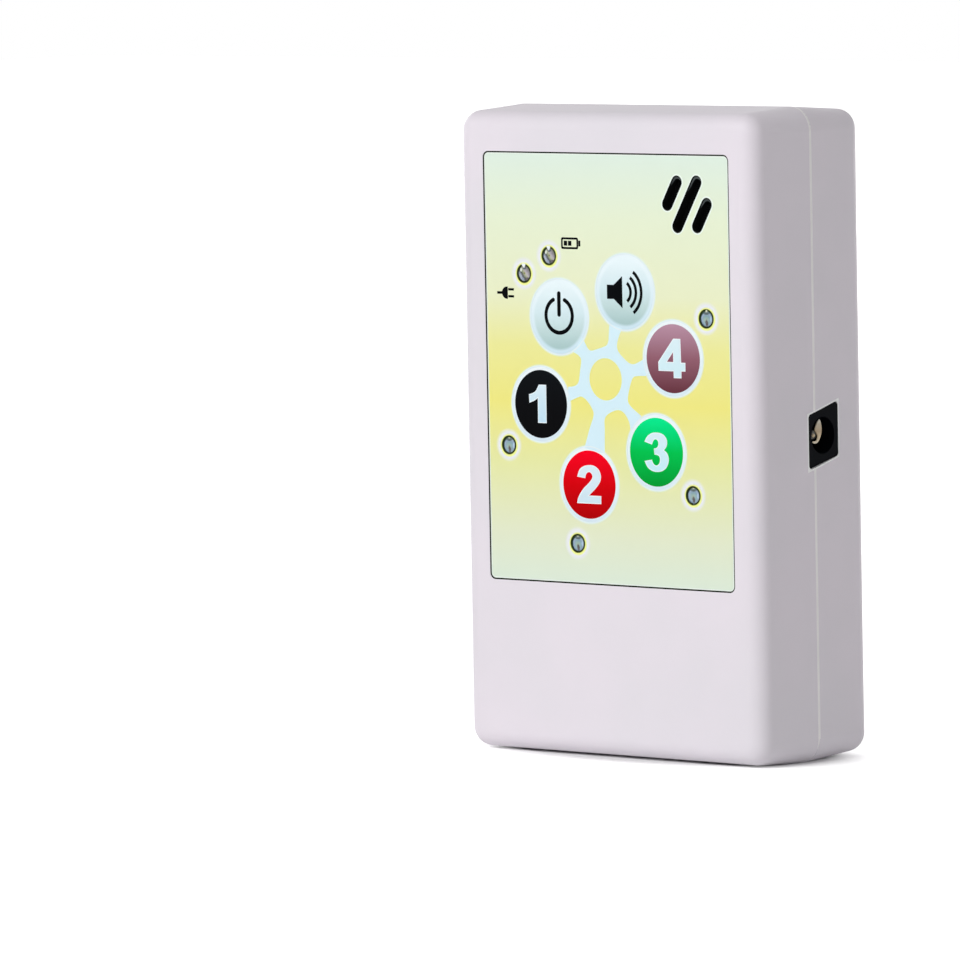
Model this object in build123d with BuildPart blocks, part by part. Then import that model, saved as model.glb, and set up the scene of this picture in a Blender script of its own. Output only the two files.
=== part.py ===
"""Medical alert base station: a wireless call receiver in a two-shell upright case.

Frame: X to the right as seen from the front, Y from front to back, Z up. The origin is
in the middle of the standing face. All sizes are in millimetres and angles in degrees.
"""
from build123d import *
import os
from math import cos, radians, sin, tan

os.makedirs("parts", exist_ok=True)

# ---- driving dimensions: case ----
case_width = 67.6  # across the parting ridge, the widest place
ridge_height = 111.8  # ridge outline, before the standing face is cut
case_depth = 29.8
front_depth = 14.35  # front face to parting plane
front_draft = 3.43
rear_draft = 3.72
corner_radius = 4.2
front_edge_radius = 3.2
rear_edge_radius = 3.0
wall = 2.0
standing_cut = 0.25  # how far the ridge is flattened underneath
seam_chamfer = 0.35  # rear shell only, the line seen round the case
lip_height = 1.0
lip_thickness = 0.9
lip_clearance = 0.1

# ---- driving dimensions: printed front ----
overlay_side_margin = 6.65  # ridge to film, mean of both sides
overlay_top_margin = 7.85
overlay_height = 73.6
overlay_shift = 0.4  # the film sits a little to the right
overlay_radius = 0.9
overlay_film = 0.25
overlay_gap = 0.25  # dark joint around the film
recess_depth = 0.5
adhesive_film = 0.15
adhesive_inset = 0.8

# ---- driving dimensions: keys, as shares of the film's width and height from its middle ----
key_shares = {
    "power": (-0.1971, 0.1196),
    "volume": (0.0755, 0.1814),
    "1": (-0.2799, -0.0863),
    "2": (-0.0847, -0.2697),
    "3": (0.1934, -0.1868),
    "4": (0.268, 0.0313),
}
key_radius = 6.4
key_travel = 0.3
key_side_gap = 0.06  # film disc in the overlay's hole
plunger_side_gap = 0.15
plunger_flange = 0.8
flange_overhang = 0.45
flange_gap = 0.05
plunger_stem_radius = 1.6
plunger_core_radius = 5.2
plunger_core_depth = 1.2
switch_size = 6.0
switch_height = 3.5
switch_total_height = 4.3
switch_button_radius = 1.7
switch_button_length = 1.6
switch_button_gap = 0.1

# ---- driving dimensions: indicator lamps, as shares of the film's width and height ----
led_shares = {
    "power": (-0.3416, 0.2181),
    "battery": (-0.2366, 0.2609),
    "1": (-0.4171, -0.1855),
    "2": (-0.1372, -0.4083),
    "3": (0.3398, -0.2833),
    "4": (0.4042, 0.1257),
}
led_radius = 1.5
led_length = 5.3
led_flange_radius = 1.9
led_flange_height = 1.0
led_side_gap = 0.1
led_sink = 0.2  # dome tip below the film's face
lead_width = 0.5
lead_pitch = 2.54
lead_tail = 1.0
lead_hole_gap = 0.1

# ---- driving dimensions: sound slots and speaker ----
sound_side_inset = 9.0  # film's right edge to the middle slot
sound_top_inset = 8.25
slot_width = 2.1
slot_pitch = 3.74
slot_tilt = 29.5  # from upright, tops leaning to the right
slot_spans = (4.3, 8.65, 4.3)  # between the round ends' centres
speaker_radius = 8.75
speaker_depth = 2.6
speaker_rim = 0.8
speaker_plate = 0.6
speaker_ledge = 0.8
speaker_ledge_depth = 0.5
speaker_hole_radius = 4.2
speaker_gap = 0.2
cone_thickness = 0.3
cone_drop = 1.1
cone_cap_radius = 2.5
magnet_radius = 5.6
magnet_height = 1.8
mesh_thickness = 0.3
ring_wall = 1.2
ring_height = 3.0
speaker_lead_radius = 0.45
speaker_lead_pitch = 2.4
speaker_lead_reach = 3.75

# ---- driving dimensions: board and its fixings ----
board_front = 6.0  # inside of the front wall to the board
board_thickness = 1.6
board_side_margin = 5.0  # ridge to the board's sides
board_end_margin = 5.75
board_corner_gap = 0.6
standoff_side_inset = 6.5  # board's side to the corner standoffs
standoff_end_inset = 8.25
socket_standoff_inset = 4.0  # the standoff above the power socket
socket_standoff_rise = 10.7
standoff_radius = 2.3
board_screw_radius = 0.85
board_screw_head_radius = 1.8
board_screw_head_height = 1.2
board_screw_grip = 4.5
screw_gap = 0.1

# ---- driving dimensions: case posts and screws ----
post_radius = 3.2
post_inset = 1.7
post_end_gap = 0.3
case_screw_radius = 1.1
case_screw_head_radius = 2.0
case_screw_head_height = 1.5
case_screw_seat = 3.0
case_screw_grip = 7.5
head_side_gap = 0.2

# ---- driving dimensions: power socket ----
jack_width = 8.2  # nose, front to back
jack_height = 9.2
jack_rake = 13.7  # the nose's ends rise towards the back
jack_nose = 3.0
jack_length = 14.0
jack_sink = 0.45  # nose face below the parting ridge
jack_side_gap = 0.12
jack_edge_radius = 0.6
jack_hole_radius = 3.15
jack_hole_depth = 9.6
jack_top_rise = 11.8
jack_pin_radius = 1.05
jack_pin_length = 7.6
contact_thickness = 0.25
contact_length = 6.0
contact_arc = 100.0
contact_gap = 0.04
contact_start = 1.8

# ---- driving dimensions: back-up battery ----
battery_x = -8.0
battery_below_middle = 5.75
battery_width = 34.0
battery_height = 48.0
battery_depth = 8.0
battery_edge_radius = 2.0
pad_thickness = 0.5
pad_margin = 3.0
cradle_wall = 1.2
cradle_height = 5.0
cradle_gap = 0.3
battery_lead_radius = 0.6
battery_lead_pitch = 1.6
battery_lead_x = -2.0
battery_lead_drop = 2.0  # lead below the battery's inner face
plug_above_battery = 6.0
plug_width = 6.0
plug_height = 4.5
plug_rise = 6.5
header_wall = 0.7
header_rise = 4.0
plug_gap = 0.1

# ---- driving dimensions: parts on the board's back ----
radio_standoff_gap = 14.5  # upper standoff to the module's middle
radio_top_inset = 8.5  # board's top edge to the module's middle
radio_width = 22.0
radio_height = 12.0
radio_thickness = 0.8
can_width = 12.0
can_height = 9.0
can_rise = 2.0
can_offset = -3.5
antenna_radius = 0.5
antenna_inset = 2.0
antenna_rise = 5.8
antenna_run = 27.0
antenna_drop = 50.0
antenna_bends = (2.5, 9.0)
chip_size = 10.0
chip_rise = 1.4
chip_above_middle = 9.25
chip_pins = 12
chip_pin_pitch = 0.7
chip_pin_width = 0.3
chip_pin_reach = 1.0
chip_pin_thickness = 0.2
sound_chip_x = -14.0
power_row_inset = 12.5  # board's bottom edge to the sound chip and capacitors
sound_chip_width = 7.5
sound_chip_height = 12.8
sound_chip_rise = 2.3
sound_chip_pins = 10
sound_chip_pitch = 1.1
crystal_x = 14.0
crystal_top_inset = 21.0
crystal_length = 10.5
crystal_width = 4.4
crystal_rise = 3.4
capacitor_x = (5.0, 13.5)
capacitor_radius = 3.15
capacitor_rise = 8.0
capacitor_edge = 0.4

# ---- places worked out from the driving dimensions ----
front_y = -case_depth / 2
back_y = case_depth / 2
part_y = front_y + front_depth
inner_front_y = front_y + wall
inner_back_y = back_y - wall
middle_z = ridge_height / 2 - standing_cut

recess_y = front_y + recess_depth
film_back_y = recess_y - adhesive_film
film_front_y = film_back_y - overlay_film
overlay_width = case_width - 2 * overlay_side_margin
overlay_z = ridge_height - standing_cut - overlay_top_margin - overlay_height / 2
key_places = {
    name: (overlay_shift + share_x * overlay_width, overlay_z + share_z * overlay_height)
    for name, (share_x, share_z) in key_shares.items()
}
led_places = {
    name: (overlay_shift + share_x * overlay_width, overlay_z + share_z * overlay_height)
    for name, (share_x, share_z) in led_shares.items()
}
sound_x = overlay_shift + overlay_width / 2 - sound_side_inset
sound_z = overlay_z + overlay_height / 2 - sound_top_inset

board_front_y = inner_front_y + board_front
board_back_y = board_front_y + board_thickness
board_width = case_width - 2 * board_side_margin
board_height = ridge_height - 2 * board_end_margin
board_top_z = middle_z + board_height / 2
board_bottom_z = middle_z - board_height / 2
standoff_x = board_width / 2 - standoff_side_inset
standoff_places = (
    (-standoff_x, board_top_z - standoff_end_inset),
    (board_width / 2 - socket_standoff_inset, middle_z + socket_standoff_rise),
    (-standoff_x, board_bottom_z + standoff_end_inset),
    (standoff_x, board_bottom_z + standoff_end_inset),
)

head_back_y = inner_front_y + flange_gap
plunger_bore = key_radius + plunger_side_gap
flange_radius = plunger_bore + flange_overhang
switch_front_y = board_front_y - switch_height
button_front_y = board_front_y - switch_total_height
button_bore = switch_button_radius + switch_button_gap
lead_hole_radius = lead_width * 0.7071 + lead_hole_gap

led_bore = led_radius + led_side_gap
led_front_y = film_front_y + led_sink
led_back_y = led_front_y + led_length

post_x = case_width / 2 - wall - post_radius - post_inset
post_half_z = ridge_height / 2 - wall - post_radius - post_inset
corners = [(sx, sz) for sx in (-1, 1) for sz in (-1, 1)]
post_places = [(sx * post_x, middle_z + sz * post_half_z) for sx, sz in corners]
notch_reach = post_radius + board_corner_gap
notch_places = [
    (sx * (post_x + notch_reach), middle_z + sz * (post_half_z + notch_reach)) for sx, sz in corners
]
seat_y = part_y + case_screw_seat
screw_tip_y = part_y - case_screw_grip

jack_face_x = case_width / 2 - jack_sink
jack_top_y = board_back_y + jack_top_rise
jack_axis = (jack_top_y - jack_width / 2, middle_z)

battery_back_y = inner_back_y - pad_thickness
battery_front_y = battery_back_y - battery_depth
battery_lead_y = battery_front_y + battery_lead_drop
battery_z = middle_z - battery_below_middle
battery_top_z = battery_z + battery_height / 2
plug_z = battery_top_z + plug_above_battery

radio_x = radio_standoff_gap - standoff_x
radio_z = board_top_z - radio_top_inset
crystal_z = board_top_z - crystal_top_inset
chip_z = middle_z + chip_above_middle
power_row_z = board_bottom_z + power_row_inset
capacitor_places = [(x, power_row_z) for x in capacitor_x]


def front_plane(y):
    """A plane across the case at depth y: local x is X, local y is Z, normal to the front."""
    return Plane.XZ.offset(-y)


def rear_plane(y):
    """The same plane facing the back: local x is X, local y is -Z."""
    return Plane(origin=(0, y, 0), x_dir=(1, 0, 0), z_dir=(0, 1, 0))


def nose_outline(gap=0.0):
    """Outline of the power socket's nose about its barrel axis, larger all round by a gap."""
    half_width, half_height = jack_width / 2 + gap, jack_height / 2 + gap
    rise = half_width * tan(radians(jack_rake))
    with BuildSketch() as outline:
        Polygon(
            (-half_width, -half_height - rise),
            (half_width, -half_height + rise),
            (half_width, half_height + rise),
            (-half_width, half_height - rise),
            align=None,
        )
        fillet(outline.vertices(), jack_edge_radius + gap)
    return outline.sketch


def save(builder, name):
    """Label a finished piece and write it."""
    builder.part.label = name
    export_step(builder.part, f"parts/{name}.step")


socket_nose = nose_outline()
socket_notch = nose_outline(jack_side_gap)

# ---- front shell ----
with BuildPart() as front_shell:
    with BuildSketch(front_plane(part_y)):
        with Locations((0, middle_z)):
            RectangleRounded(case_width, ridge_height, corner_radius)
    extrude(amount=front_depth, taper=front_draft)
    fillet(front_shell.faces().sort_by(Axis.Y)[0].edges(), front_edge_radius)
    with BuildSketch(front_plane(part_y)):
        with Locations((0, middle_z)):
            RectangleRounded(case_width - 2 * wall, ridge_height - 2 * wall, corner_radius - wall)
    extrude(amount=front_depth - wall, taper=front_draft, mode=Mode.SUBTRACT)
    # tongue that centres the rear shell
    with BuildSketch(front_plane(part_y)):
        with Locations((0, middle_z)):
            RectangleRounded(
                case_width - 2 * (wall - lip_thickness),
                ridge_height - 2 * (wall - lip_thickness),
                corner_radius - wall + lip_thickness,
            )
            RectangleRounded(
                case_width - 2 * wall, ridge_height - 2 * wall, corner_radius - wall, mode=Mode.SUBTRACT
            )
    extrude(amount=-lip_height)
    # shallow recess that takes the printed film
    with BuildSketch(front_plane(front_y)):
        with Locations((overlay_shift, overlay_z)):
            RectangleRounded(
                overlay_width + 2 * overlay_gap,
                overlay_height + 2 * overlay_gap,
                overlay_radius + overlay_gap,
            )
    extrude(amount=-recess_depth, mode=Mode.SUBTRACT)
    # standoffs, speaker ring and screw bosses on the inside of the front wall
    with BuildSketch(front_plane(inner_front_y)):
        with Locations(*standoff_places):
            Circle(standoff_radius)
    extrude(amount=-board_front)
    with BuildSketch(front_plane(inner_front_y)):
        with Locations((sound_x, sound_z)):
            Circle(speaker_radius + speaker_gap + ring_wall)
            Circle(speaker_radius + speaker_gap, mode=Mode.SUBTRACT)
    extrude(amount=-ring_height)
    with BuildSketch(front_plane(inner_front_y)):
        with Locations(*post_places):
            Circle(post_radius)
    extrude(amount=-(part_y - inner_front_y))
    # openings for keys, lamps and sound
    with BuildSketch(front_plane(front_y)):
        with Locations(*key_places.values()):
            Circle(plunger_bore)
        with Locations(*led_places.values()):
            Circle(led_bore)
        for row, span in enumerate(slot_spans):
            step = (row - 1) * slot_pitch
            with Locations(
                (sound_x + step * cos(radians(slot_tilt)), sound_z - step * sin(radians(slot_tilt)))
            ):
                SlotCenterToCenter(span, slot_width, rotation=90 - slot_tilt)
    extrude(amount=-wall, mode=Mode.SUBTRACT)
    # pilot holes
    with BuildSketch(front_plane(board_front_y)):
        with Locations(*standoff_places):
            Circle(board_screw_radius + screw_gap)
    extrude(amount=board_screw_grip + screw_gap, mode=Mode.SUBTRACT)
    with BuildSketch(front_plane(part_y)):
        with Locations(*post_places):
            Circle(case_screw_radius + screw_gap)
    extrude(amount=case_screw_grip + screw_gap, mode=Mode.SUBTRACT)
    # notch for the power socket, cut through wall and tongue
    with BuildSketch(Plane.YZ.offset(case_width / 2)):
        with Locations(jack_axis):
            add(socket_notch)
    extrude(amount=-2 * wall, mode=Mode.SUBTRACT)
    # standing face
    with BuildSketch(Plane.XY):
        Rectangle(2 * case_width, 2 * case_depth)
    extrude(amount=-2 * standing_cut, mode=Mode.SUBTRACT)
save(front_shell, "front_shell")

# ---- rear shell ----
with BuildPart() as rear_shell:
    with BuildSketch(rear_plane(part_y)):
        with Locations((0, -middle_z)):
            RectangleRounded(case_width, ridge_height, corner_radius)
    extrude(amount=case_depth - front_depth, taper=rear_draft)
    fillet(rear_shell.faces().sort_by(Axis.Y)[-1].edges(), rear_edge_radius)
    chamfer(rear_shell.faces().sort_by(Axis.Y)[0].edges(), seam_chamfer)
    with BuildSketch(rear_plane(part_y)):
        with Locations((0, -middle_z)):
            RectangleRounded(case_width - 2 * wall, ridge_height - 2 * wall, corner_radius - wall)
    extrude(amount=case_depth - front_depth - wall, taper=rear_draft, mode=Mode.SUBTRACT)
    # rebate for the front shell's tongue
    with BuildSketch(rear_plane(part_y)):
        with Locations((0, -middle_z)):
            RectangleRounded(
                case_width - 2 * (wall - lip_thickness - lip_clearance),
                ridge_height - 2 * (wall - lip_thickness - lip_clearance),
                corner_radius - wall + lip_thickness + lip_clearance,
            )
    extrude(amount=lip_height + lip_clearance, mode=Mode.SUBTRACT)
    # screw posts, reaching the front shell's bosses
    with BuildSketch(front_plane(inner_back_y)):
        with Locations(*post_places):
            Circle(post_radius)
    extrude(amount=inner_back_y - part_y - post_end_gap)
    with BuildSketch(front_plane(back_y)):
        with Locations(*post_places):
            Circle(case_screw_head_radius + head_side_gap)
    extrude(amount=back_y - seat_y, mode=Mode.SUBTRACT)
    with BuildSketch(front_plane(seat_y)):
        with Locations(*post_places):
            Circle(case_screw_radius + screw_gap)
    extrude(amount=case_screw_seat, mode=Mode.SUBTRACT)
    # cradle around the battery
    with BuildSketch(front_plane(inner_back_y)):
        with Locations((battery_x, battery_z)):
            Rectangle(
                battery_width + 2 * (cradle_gap + cradle_wall),
                battery_height + 2 * (cradle_gap + cradle_wall),
            )
            Rectangle(
                battery_width + 2 * cradle_gap, battery_height + 2 * cradle_gap, mode=Mode.SUBTRACT
            )
    extrude(amount=cradle_height)
    # notch for the power socket
    with BuildSketch(Plane.YZ.offset(case_width / 2)):
        with Locations(jack_axis):
            add(socket_notch)
    extrude(amount=-2 * wall, mode=Mode.SUBTRACT)
    # standing face
    with BuildSketch(Plane.XY):
        Rectangle(2 * case_width, 2 * case_depth)
    extrude(amount=-2 * standing_cut, mode=Mode.SUBTRACT)
save(rear_shell, "rear_shell")

# ---- printed film and its adhesive ----
with BuildPart() as keypad_overlay:
    with BuildSketch(front_plane(film_back_y)):
        with Locations((overlay_shift, overlay_z)):
            RectangleRounded(overlay_width, overlay_height, overlay_radius)
        with Locations(*key_places.values()):
            Circle(key_radius + key_side_gap, mode=Mode.SUBTRACT)
        with Locations(*led_places.values()):
            Circle(led_bore, mode=Mode.SUBTRACT)
        for row, span in enumerate(slot_spans):
            step = (row - 1) * slot_pitch
            with Locations(
                (sound_x + step * cos(radians(slot_tilt)), sound_z - step * sin(radians(slot_tilt)))
            ):
                SlotCenterToCenter(span, slot_width, rotation=90 - slot_tilt, mode=Mode.SUBTRACT)
    extrude(amount=overlay_film)
save(keypad_overlay, "keypad_overlay")

with BuildPart() as overlay_adhesive:
    with BuildSketch(front_plane(recess_y)):
        with Locations((overlay_shift, overlay_z)):
            Rectangle(overlay_width - 2 * adhesive_inset, overlay_height - 2 * adhesive_inset)
        with Locations(*key_places.values()):
            Circle(plunger_bore, mode=Mode.SUBTRACT)
        with Locations(*led_places.values()):
            Circle(led_bore + led_side_gap, mode=Mode.SUBTRACT)
        with Locations((sound_x, sound_z)):
            Circle(max(slot_spans) / 2 + slot_width, mode=Mode.SUBTRACT)
    extrude(amount=adhesive_film)
save(overlay_adhesive, "overlay_adhesive")

# ---- keys: film disc, plunger, switch button and switch body ----
for name, place in key_places.items():
    with BuildPart() as key_disc:
        with BuildSketch(front_plane(film_back_y)):
            with Locations(place):
                Circle(key_radius)
        extrude(amount=overlay_film)
    save(key_disc, f"key_{name}")

    with BuildPart() as plunger:
        with BuildSketch(front_plane(head_back_y)):
            with Locations(place):
                Circle(key_radius)
        extrude(amount=head_back_y - film_back_y)
        with BuildSketch(front_plane(head_back_y)):
            with Locations(place):
                Circle(flange_radius)
        extrude(amount=-plunger_flange)
        with BuildSketch(front_plane(head_back_y + plunger_flange)):
            with Locations(place):
                Circle(plunger_core_radius)
        extrude(amount=plunger_core_depth, mode=Mode.SUBTRACT)
        with BuildSketch(front_plane(button_front_y)):
            with Locations(place):
                Circle(plunger_stem_radius)
        extrude(amount=button_front_y - head_back_y - plunger_flange + plunger_core_depth)
    save(plunger, f"plunger_{name}")

    with BuildPart() as switch_button:
        with BuildSketch(front_plane(button_front_y)):
            with Locations(place):
                Circle(switch_button_radius)
        extrude(amount=-switch_button_length)
    save(switch_button, f"switch_button_{name}")

    with BuildPart() as switch_body:
        with BuildSketch(front_plane(board_front_y)):
            with Locations(place):
                Rectangle(switch_size, switch_size)
        extrude(amount=switch_height)
        with BuildSketch(front_plane(switch_front_y)):
            with Locations(place):
                Circle(button_bore)
        bore_end_y = button_front_y + switch_button_length + key_travel + switch_button_gap
        extrude(amount=switch_front_y - bore_end_y, mode=Mode.SUBTRACT)
    save(switch_body, f"switch_body_{name}")

# ---- indicator lamps: clear body with a domed tip ----
for name, place in led_places.items():
    with BuildPart() as led:
        with BuildSketch(front_plane(led_back_y)):
            with Locations(place):
                Circle(led_flange_radius)
        extrude(amount=led_flange_height)
        with BuildSketch(front_plane(led_back_y)):
            with Locations(place):
                Circle(led_radius)
        extrude(amount=led_length - led_radius)
        with Locations((place[0], led_front_y + led_radius, place[1])):
            Sphere(led_radius)
    save(led, f"led_{name}")

lead_places = [
    (x + side * lead_pitch / 2, z) for x, z in led_places.values() for side in (-1, 1)
]
with BuildPart() as led_leads:
    with BuildSketch(front_plane(led_back_y)):
        with Locations(*lead_places):
            Rectangle(lead_width, lead_width)
    extrude(amount=-(board_back_y + lead_tail - led_back_y))
save(led_leads, "led_leads")

# ---- main board and its screws ----
with BuildPart() as main_board:
    with BuildSketch(front_plane(board_front_y)):
        with Locations((0, middle_z)):
            Rectangle(board_width, board_height)
        with Locations(*notch_places):
            Rectangle(4 * notch_reach, 4 * notch_reach, mode=Mode.SUBTRACT)
        with Locations(*standoff_places):
            Circle(board_screw_radius + screw_gap, mode=Mode.SUBTRACT)
        with Locations(*lead_places):
            Circle(lead_hole_radius, mode=Mode.SUBTRACT)
    extrude(amount=-board_thickness)
save(main_board, "main_board")

with BuildPart() as board_screws:
    with BuildSketch(front_plane(board_back_y)):
        with Locations(*standoff_places):
            Circle(board_screw_head_radius)
    extrude(amount=-board_screw_head_height)
    with BuildSketch(front_plane(board_back_y)):
        with Locations(*standoff_places):
            Circle(board_screw_radius)
    extrude(amount=board_thickness + board_screw_grip)
save(board_screws, "board_screws")

with BuildPart() as case_screws:
    with BuildSketch(front_plane(seat_y)):
        with Locations(*post_places):
            Circle(case_screw_head_radius)
    extrude(amount=-case_screw_head_height)
    with BuildSketch(front_plane(seat_y)):
        with Locations(*post_places):
            Circle(case_screw_radius)
    extrude(amount=seat_y - screw_tip_y)
save(case_screws, "case_screws")

# ---- speaker: cloth, frame, cone, magnet and leads ----
mesh_back_y = inner_front_y + mesh_thickness
ledge_y = mesh_back_y + speaker_ledge_depth
plate_y = mesh_back_y + speaker_depth - speaker_plate
frame_back_y = mesh_back_y + speaker_depth

with BuildPart() as speaker_mesh:
    with BuildSketch(front_plane(mesh_back_y)):
        with Locations((sound_x, sound_z)):
            Circle(speaker_radius)
    extrude(amount=mesh_thickness)
save(speaker_mesh, "speaker_mesh")

with BuildPart() as speaker_frame:
    with BuildSketch(front_plane(frame_back_y)):
        with Locations((sound_x, sound_z)):
            Circle(speaker_radius)
            Circle(speaker_hole_radius, mode=Mode.SUBTRACT)
    extrude(amount=speaker_depth)
    with BuildSketch(front_plane(mesh_back_y)):
        with Locations((sound_x, sound_z)):
            Circle(speaker_radius - speaker_rim)
    extrude(amount=-speaker_ledge_depth, mode=Mode.SUBTRACT)
    with BuildSketch(front_plane(ledge_y)):
        with Locations((sound_x, sound_z)):
            Circle(speaker_radius - speaker_rim - speaker_ledge)
    extrude(amount=-(plate_y - ledge_y), mode=Mode.SUBTRACT)
save(speaker_frame, "speaker_frame")

cone_rim = speaker_radius - speaker_rim - 2 * cone_thickness / 3
cone_neck = speaker_radius - speaker_rim - speaker_ledge - cone_thickness
cone_front_y = ledge_y - cone_thickness
with BuildPart() as speaker_cone:
    with BuildSketch(Plane.XY.offset(sound_z)):
        with BuildLine():
            Polyline(
                (sound_x, cone_front_y + cone_drop),
                (sound_x + cone_cap_radius, cone_front_y + cone_drop),
                (sound_x + cone_neck, cone_front_y),
                (sound_x + cone_rim, cone_front_y),
                (sound_x + cone_rim, ledge_y),
                (sound_x + cone_neck, ledge_y),
                (sound_x + cone_cap_radius, ledge_y + cone_drop),
                (sound_x, ledge_y + cone_drop),
                close=True,
            )
        make_face()
    revolve(axis=Axis((sound_x, 0, sound_z), (0, 1, 0)))
save(speaker_cone, "speaker_cone")

with BuildPart() as speaker_magnet:
    with BuildSketch(front_plane(frame_back_y)):
        with Locations((sound_x, sound_z)):
            Circle(magnet_radius)
    extrude(amount=-magnet_height)
save(speaker_magnet, "speaker_magnet")

speaker_lead_x = sound_x - (speaker_radius + magnet_radius) / 2
speaker_lead_mid_y = (frame_back_y + board_front_y) / 2
with BuildPart() as speaker_leads:
    for side in (-1, 1):
        lead_z = sound_z + side * speaker_lead_pitch / 2
        with BuildLine() as lead_path:
            FilletPolyline(
                (speaker_lead_x, frame_back_y, lead_z),
                (speaker_lead_x, speaker_lead_mid_y, lead_z),
                (speaker_lead_x - speaker_lead_reach, speaker_lead_mid_y, lead_z),
                (speaker_lead_x - speaker_lead_reach, board_front_y, lead_z),
                radius=0.45 * (speaker_lead_mid_y - frame_back_y),
            )
        with BuildSketch(Plane(origin=lead_path.line @ 0, z_dir=lead_path.line % 0)):
            Circle(speaker_lead_radius)
        sweep(path=lead_path.line)
save(speaker_leads, "speaker_leads")

# ---- power socket on the right side ----
nose_back_x = jack_face_x - jack_nose
with BuildPart() as dc_jack_body:
    with BuildSketch(Plane.YZ.offset(nose_back_x)):
        with Locations(jack_axis):
            add(socket_nose)
    extrude(amount=jack_nose)
    with BuildSketch(Plane.YZ.offset(nose_back_x)):
        with Locations(((board_back_y + jack_top_y) / 2, middle_z)):
            Rectangle(jack_top_rise, jack_height)
    extrude(amount=-(jack_length - jack_nose))
    with BuildSketch(Plane.YZ.offset(jack_face_x)):
        with Locations(jack_axis):
            Circle(jack_hole_radius)
    extrude(amount=-jack_hole_depth, mode=Mode.SUBTRACT)
save(dc_jack_body, "dc_jack_body")

with BuildPart() as dc_jack_pin:
    with BuildSketch(Plane.YZ.offset(jack_face_x - jack_hole_depth)):
        with Locations(jack_axis):
            Circle(jack_pin_radius)
    extrude(amount=jack_pin_length)
    fillet(dc_jack_pin.faces().sort_by(Axis.X)[-1].edges(), jack_pin_radius / 2)
save(dc_jack_pin, "dc_jack_pin")

contact_outer = jack_hole_radius - contact_gap
contact_turn = -contact_arc / 2  # middle of the arc faces the back
with BuildPart() as dc_jack_contact:
    with BuildSketch(Plane.YZ.offset(jack_face_x - contact_start)):
        with BuildLine():
            outer_arc = CenterArc(jack_axis, contact_outer, contact_turn, contact_arc)
            inner_arc = CenterArc(
                jack_axis, contact_outer - contact_thickness, contact_turn, contact_arc
            )
            Line(outer_arc @ 0, inner_arc @ 0)
            Line(outer_arc @ 1, inner_arc @ 1)
        make_face()
    extrude(amount=-contact_length)
save(dc_jack_contact, "dc_jack_contact")

# ---- back-up battery ----
with BuildPart() as battery_pack:
    with BuildSketch(front_plane(battery_back_y)):
        with Locations((battery_x, battery_z)):
            Rectangle(battery_width, battery_height)
    extrude(amount=battery_depth)
    fillet(battery_pack.edges().filter_by(Axis.Z), battery_edge_radius)
save(battery_pack, "battery_pack")

with BuildPart() as battery_pad:
    with BuildSketch(front_plane(inner_back_y)):
        with Locations((battery_x, battery_z)):
            Rectangle(battery_width - 2 * pad_margin, battery_height - 2 * pad_margin)
    extrude(amount=pad_thickness)
save(battery_pad, "battery_pad")

plug_back_y = board_back_y + plug_rise
header_floor_y = board_back_y + header_wall
with BuildPart() as battery_header:
    with BuildSketch(front_plane(board_back_y)):
        with Locations((battery_lead_x, plug_z)):
            Rectangle(
                plug_width + 2 * (plug_gap + header_wall), plug_height + 2 * (plug_gap + header_wall)
            )
    extrude(amount=-header_rise)
    with BuildSketch(front_plane(header_floor_y)):
        with Locations((battery_lead_x, plug_z)):
            Rectangle(plug_width + 2 * plug_gap, plug_height + 2 * plug_gap)
    extrude(amount=-(header_rise - header_wall), mode=Mode.SUBTRACT)
save(battery_header, "battery_header")

with BuildPart() as battery_plug:
    with BuildSketch(front_plane(header_floor_y)):
        with Locations((battery_lead_x, plug_z)):
            Rectangle(plug_width, plug_height)
    extrude(amount=-(plug_back_y - header_floor_y))
save(battery_plug, "battery_plug")

with BuildPart() as battery_leads:
    for side in (-1, 1):
        lead_x = battery_lead_x + side * battery_lead_pitch / 2
        with BuildLine() as lead_path:
            FilletPolyline(
                (lead_x, battery_lead_y, battery_top_z),
                (lead_x, battery_lead_y, plug_z),
                (lead_x, plug_back_y, plug_z),
                radius=0.45 * min(plug_z - battery_top_z, battery_lead_y - plug_back_y),
            )
        with BuildSketch(Plane(origin=lead_path.line @ 0, z_dir=lead_path.line % 0)):
            Circle(battery_lead_radius)
        sweep(path=lead_path.line)
save(battery_leads, "battery_leads")

# ---- radio module and aerial wire ----
radio_back_y = board_back_y + radio_thickness
with BuildPart() as radio_board:
    with BuildSketch(front_plane(board_back_y)):
        with Locations((radio_x, radio_z)):
            Rectangle(radio_width, radio_height)
    extrude(amount=-radio_thickness)
save(radio_board, "radio_board")

with BuildPart() as radio_can:
    with BuildSketch(front_plane(radio_back_y)):
        with Locations((radio_x + can_offset, radio_z)):
            Rectangle(can_width, can_height)
    extrude(amount=-can_rise)
save(radio_can, "radio_can")

antenna_x = radio_x + radio_width / 2 - antenna_inset
antenna_y = radio_back_y + antenna_rise
with BuildPart() as antenna_wire:
    with BuildLine() as wire_path:
        FilletPolyline(
            (antenna_x, radio_back_y, radio_z),
            (antenna_x, antenna_y, radio_z),
            (antenna_x - antenna_run, antenna_y, radio_z),
            (antenna_x - antenna_run, antenna_y, radio_z - antenna_drop),
            radius=antenna_bends,
        )
    with BuildSketch(Plane(origin=wire_path.line @ 0, z_dir=wire_path.line % 0)):
        Circle(antenna_radius)
    sweep(path=wire_path.line)
save(antenna_wire, "antenna_wire")

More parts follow.
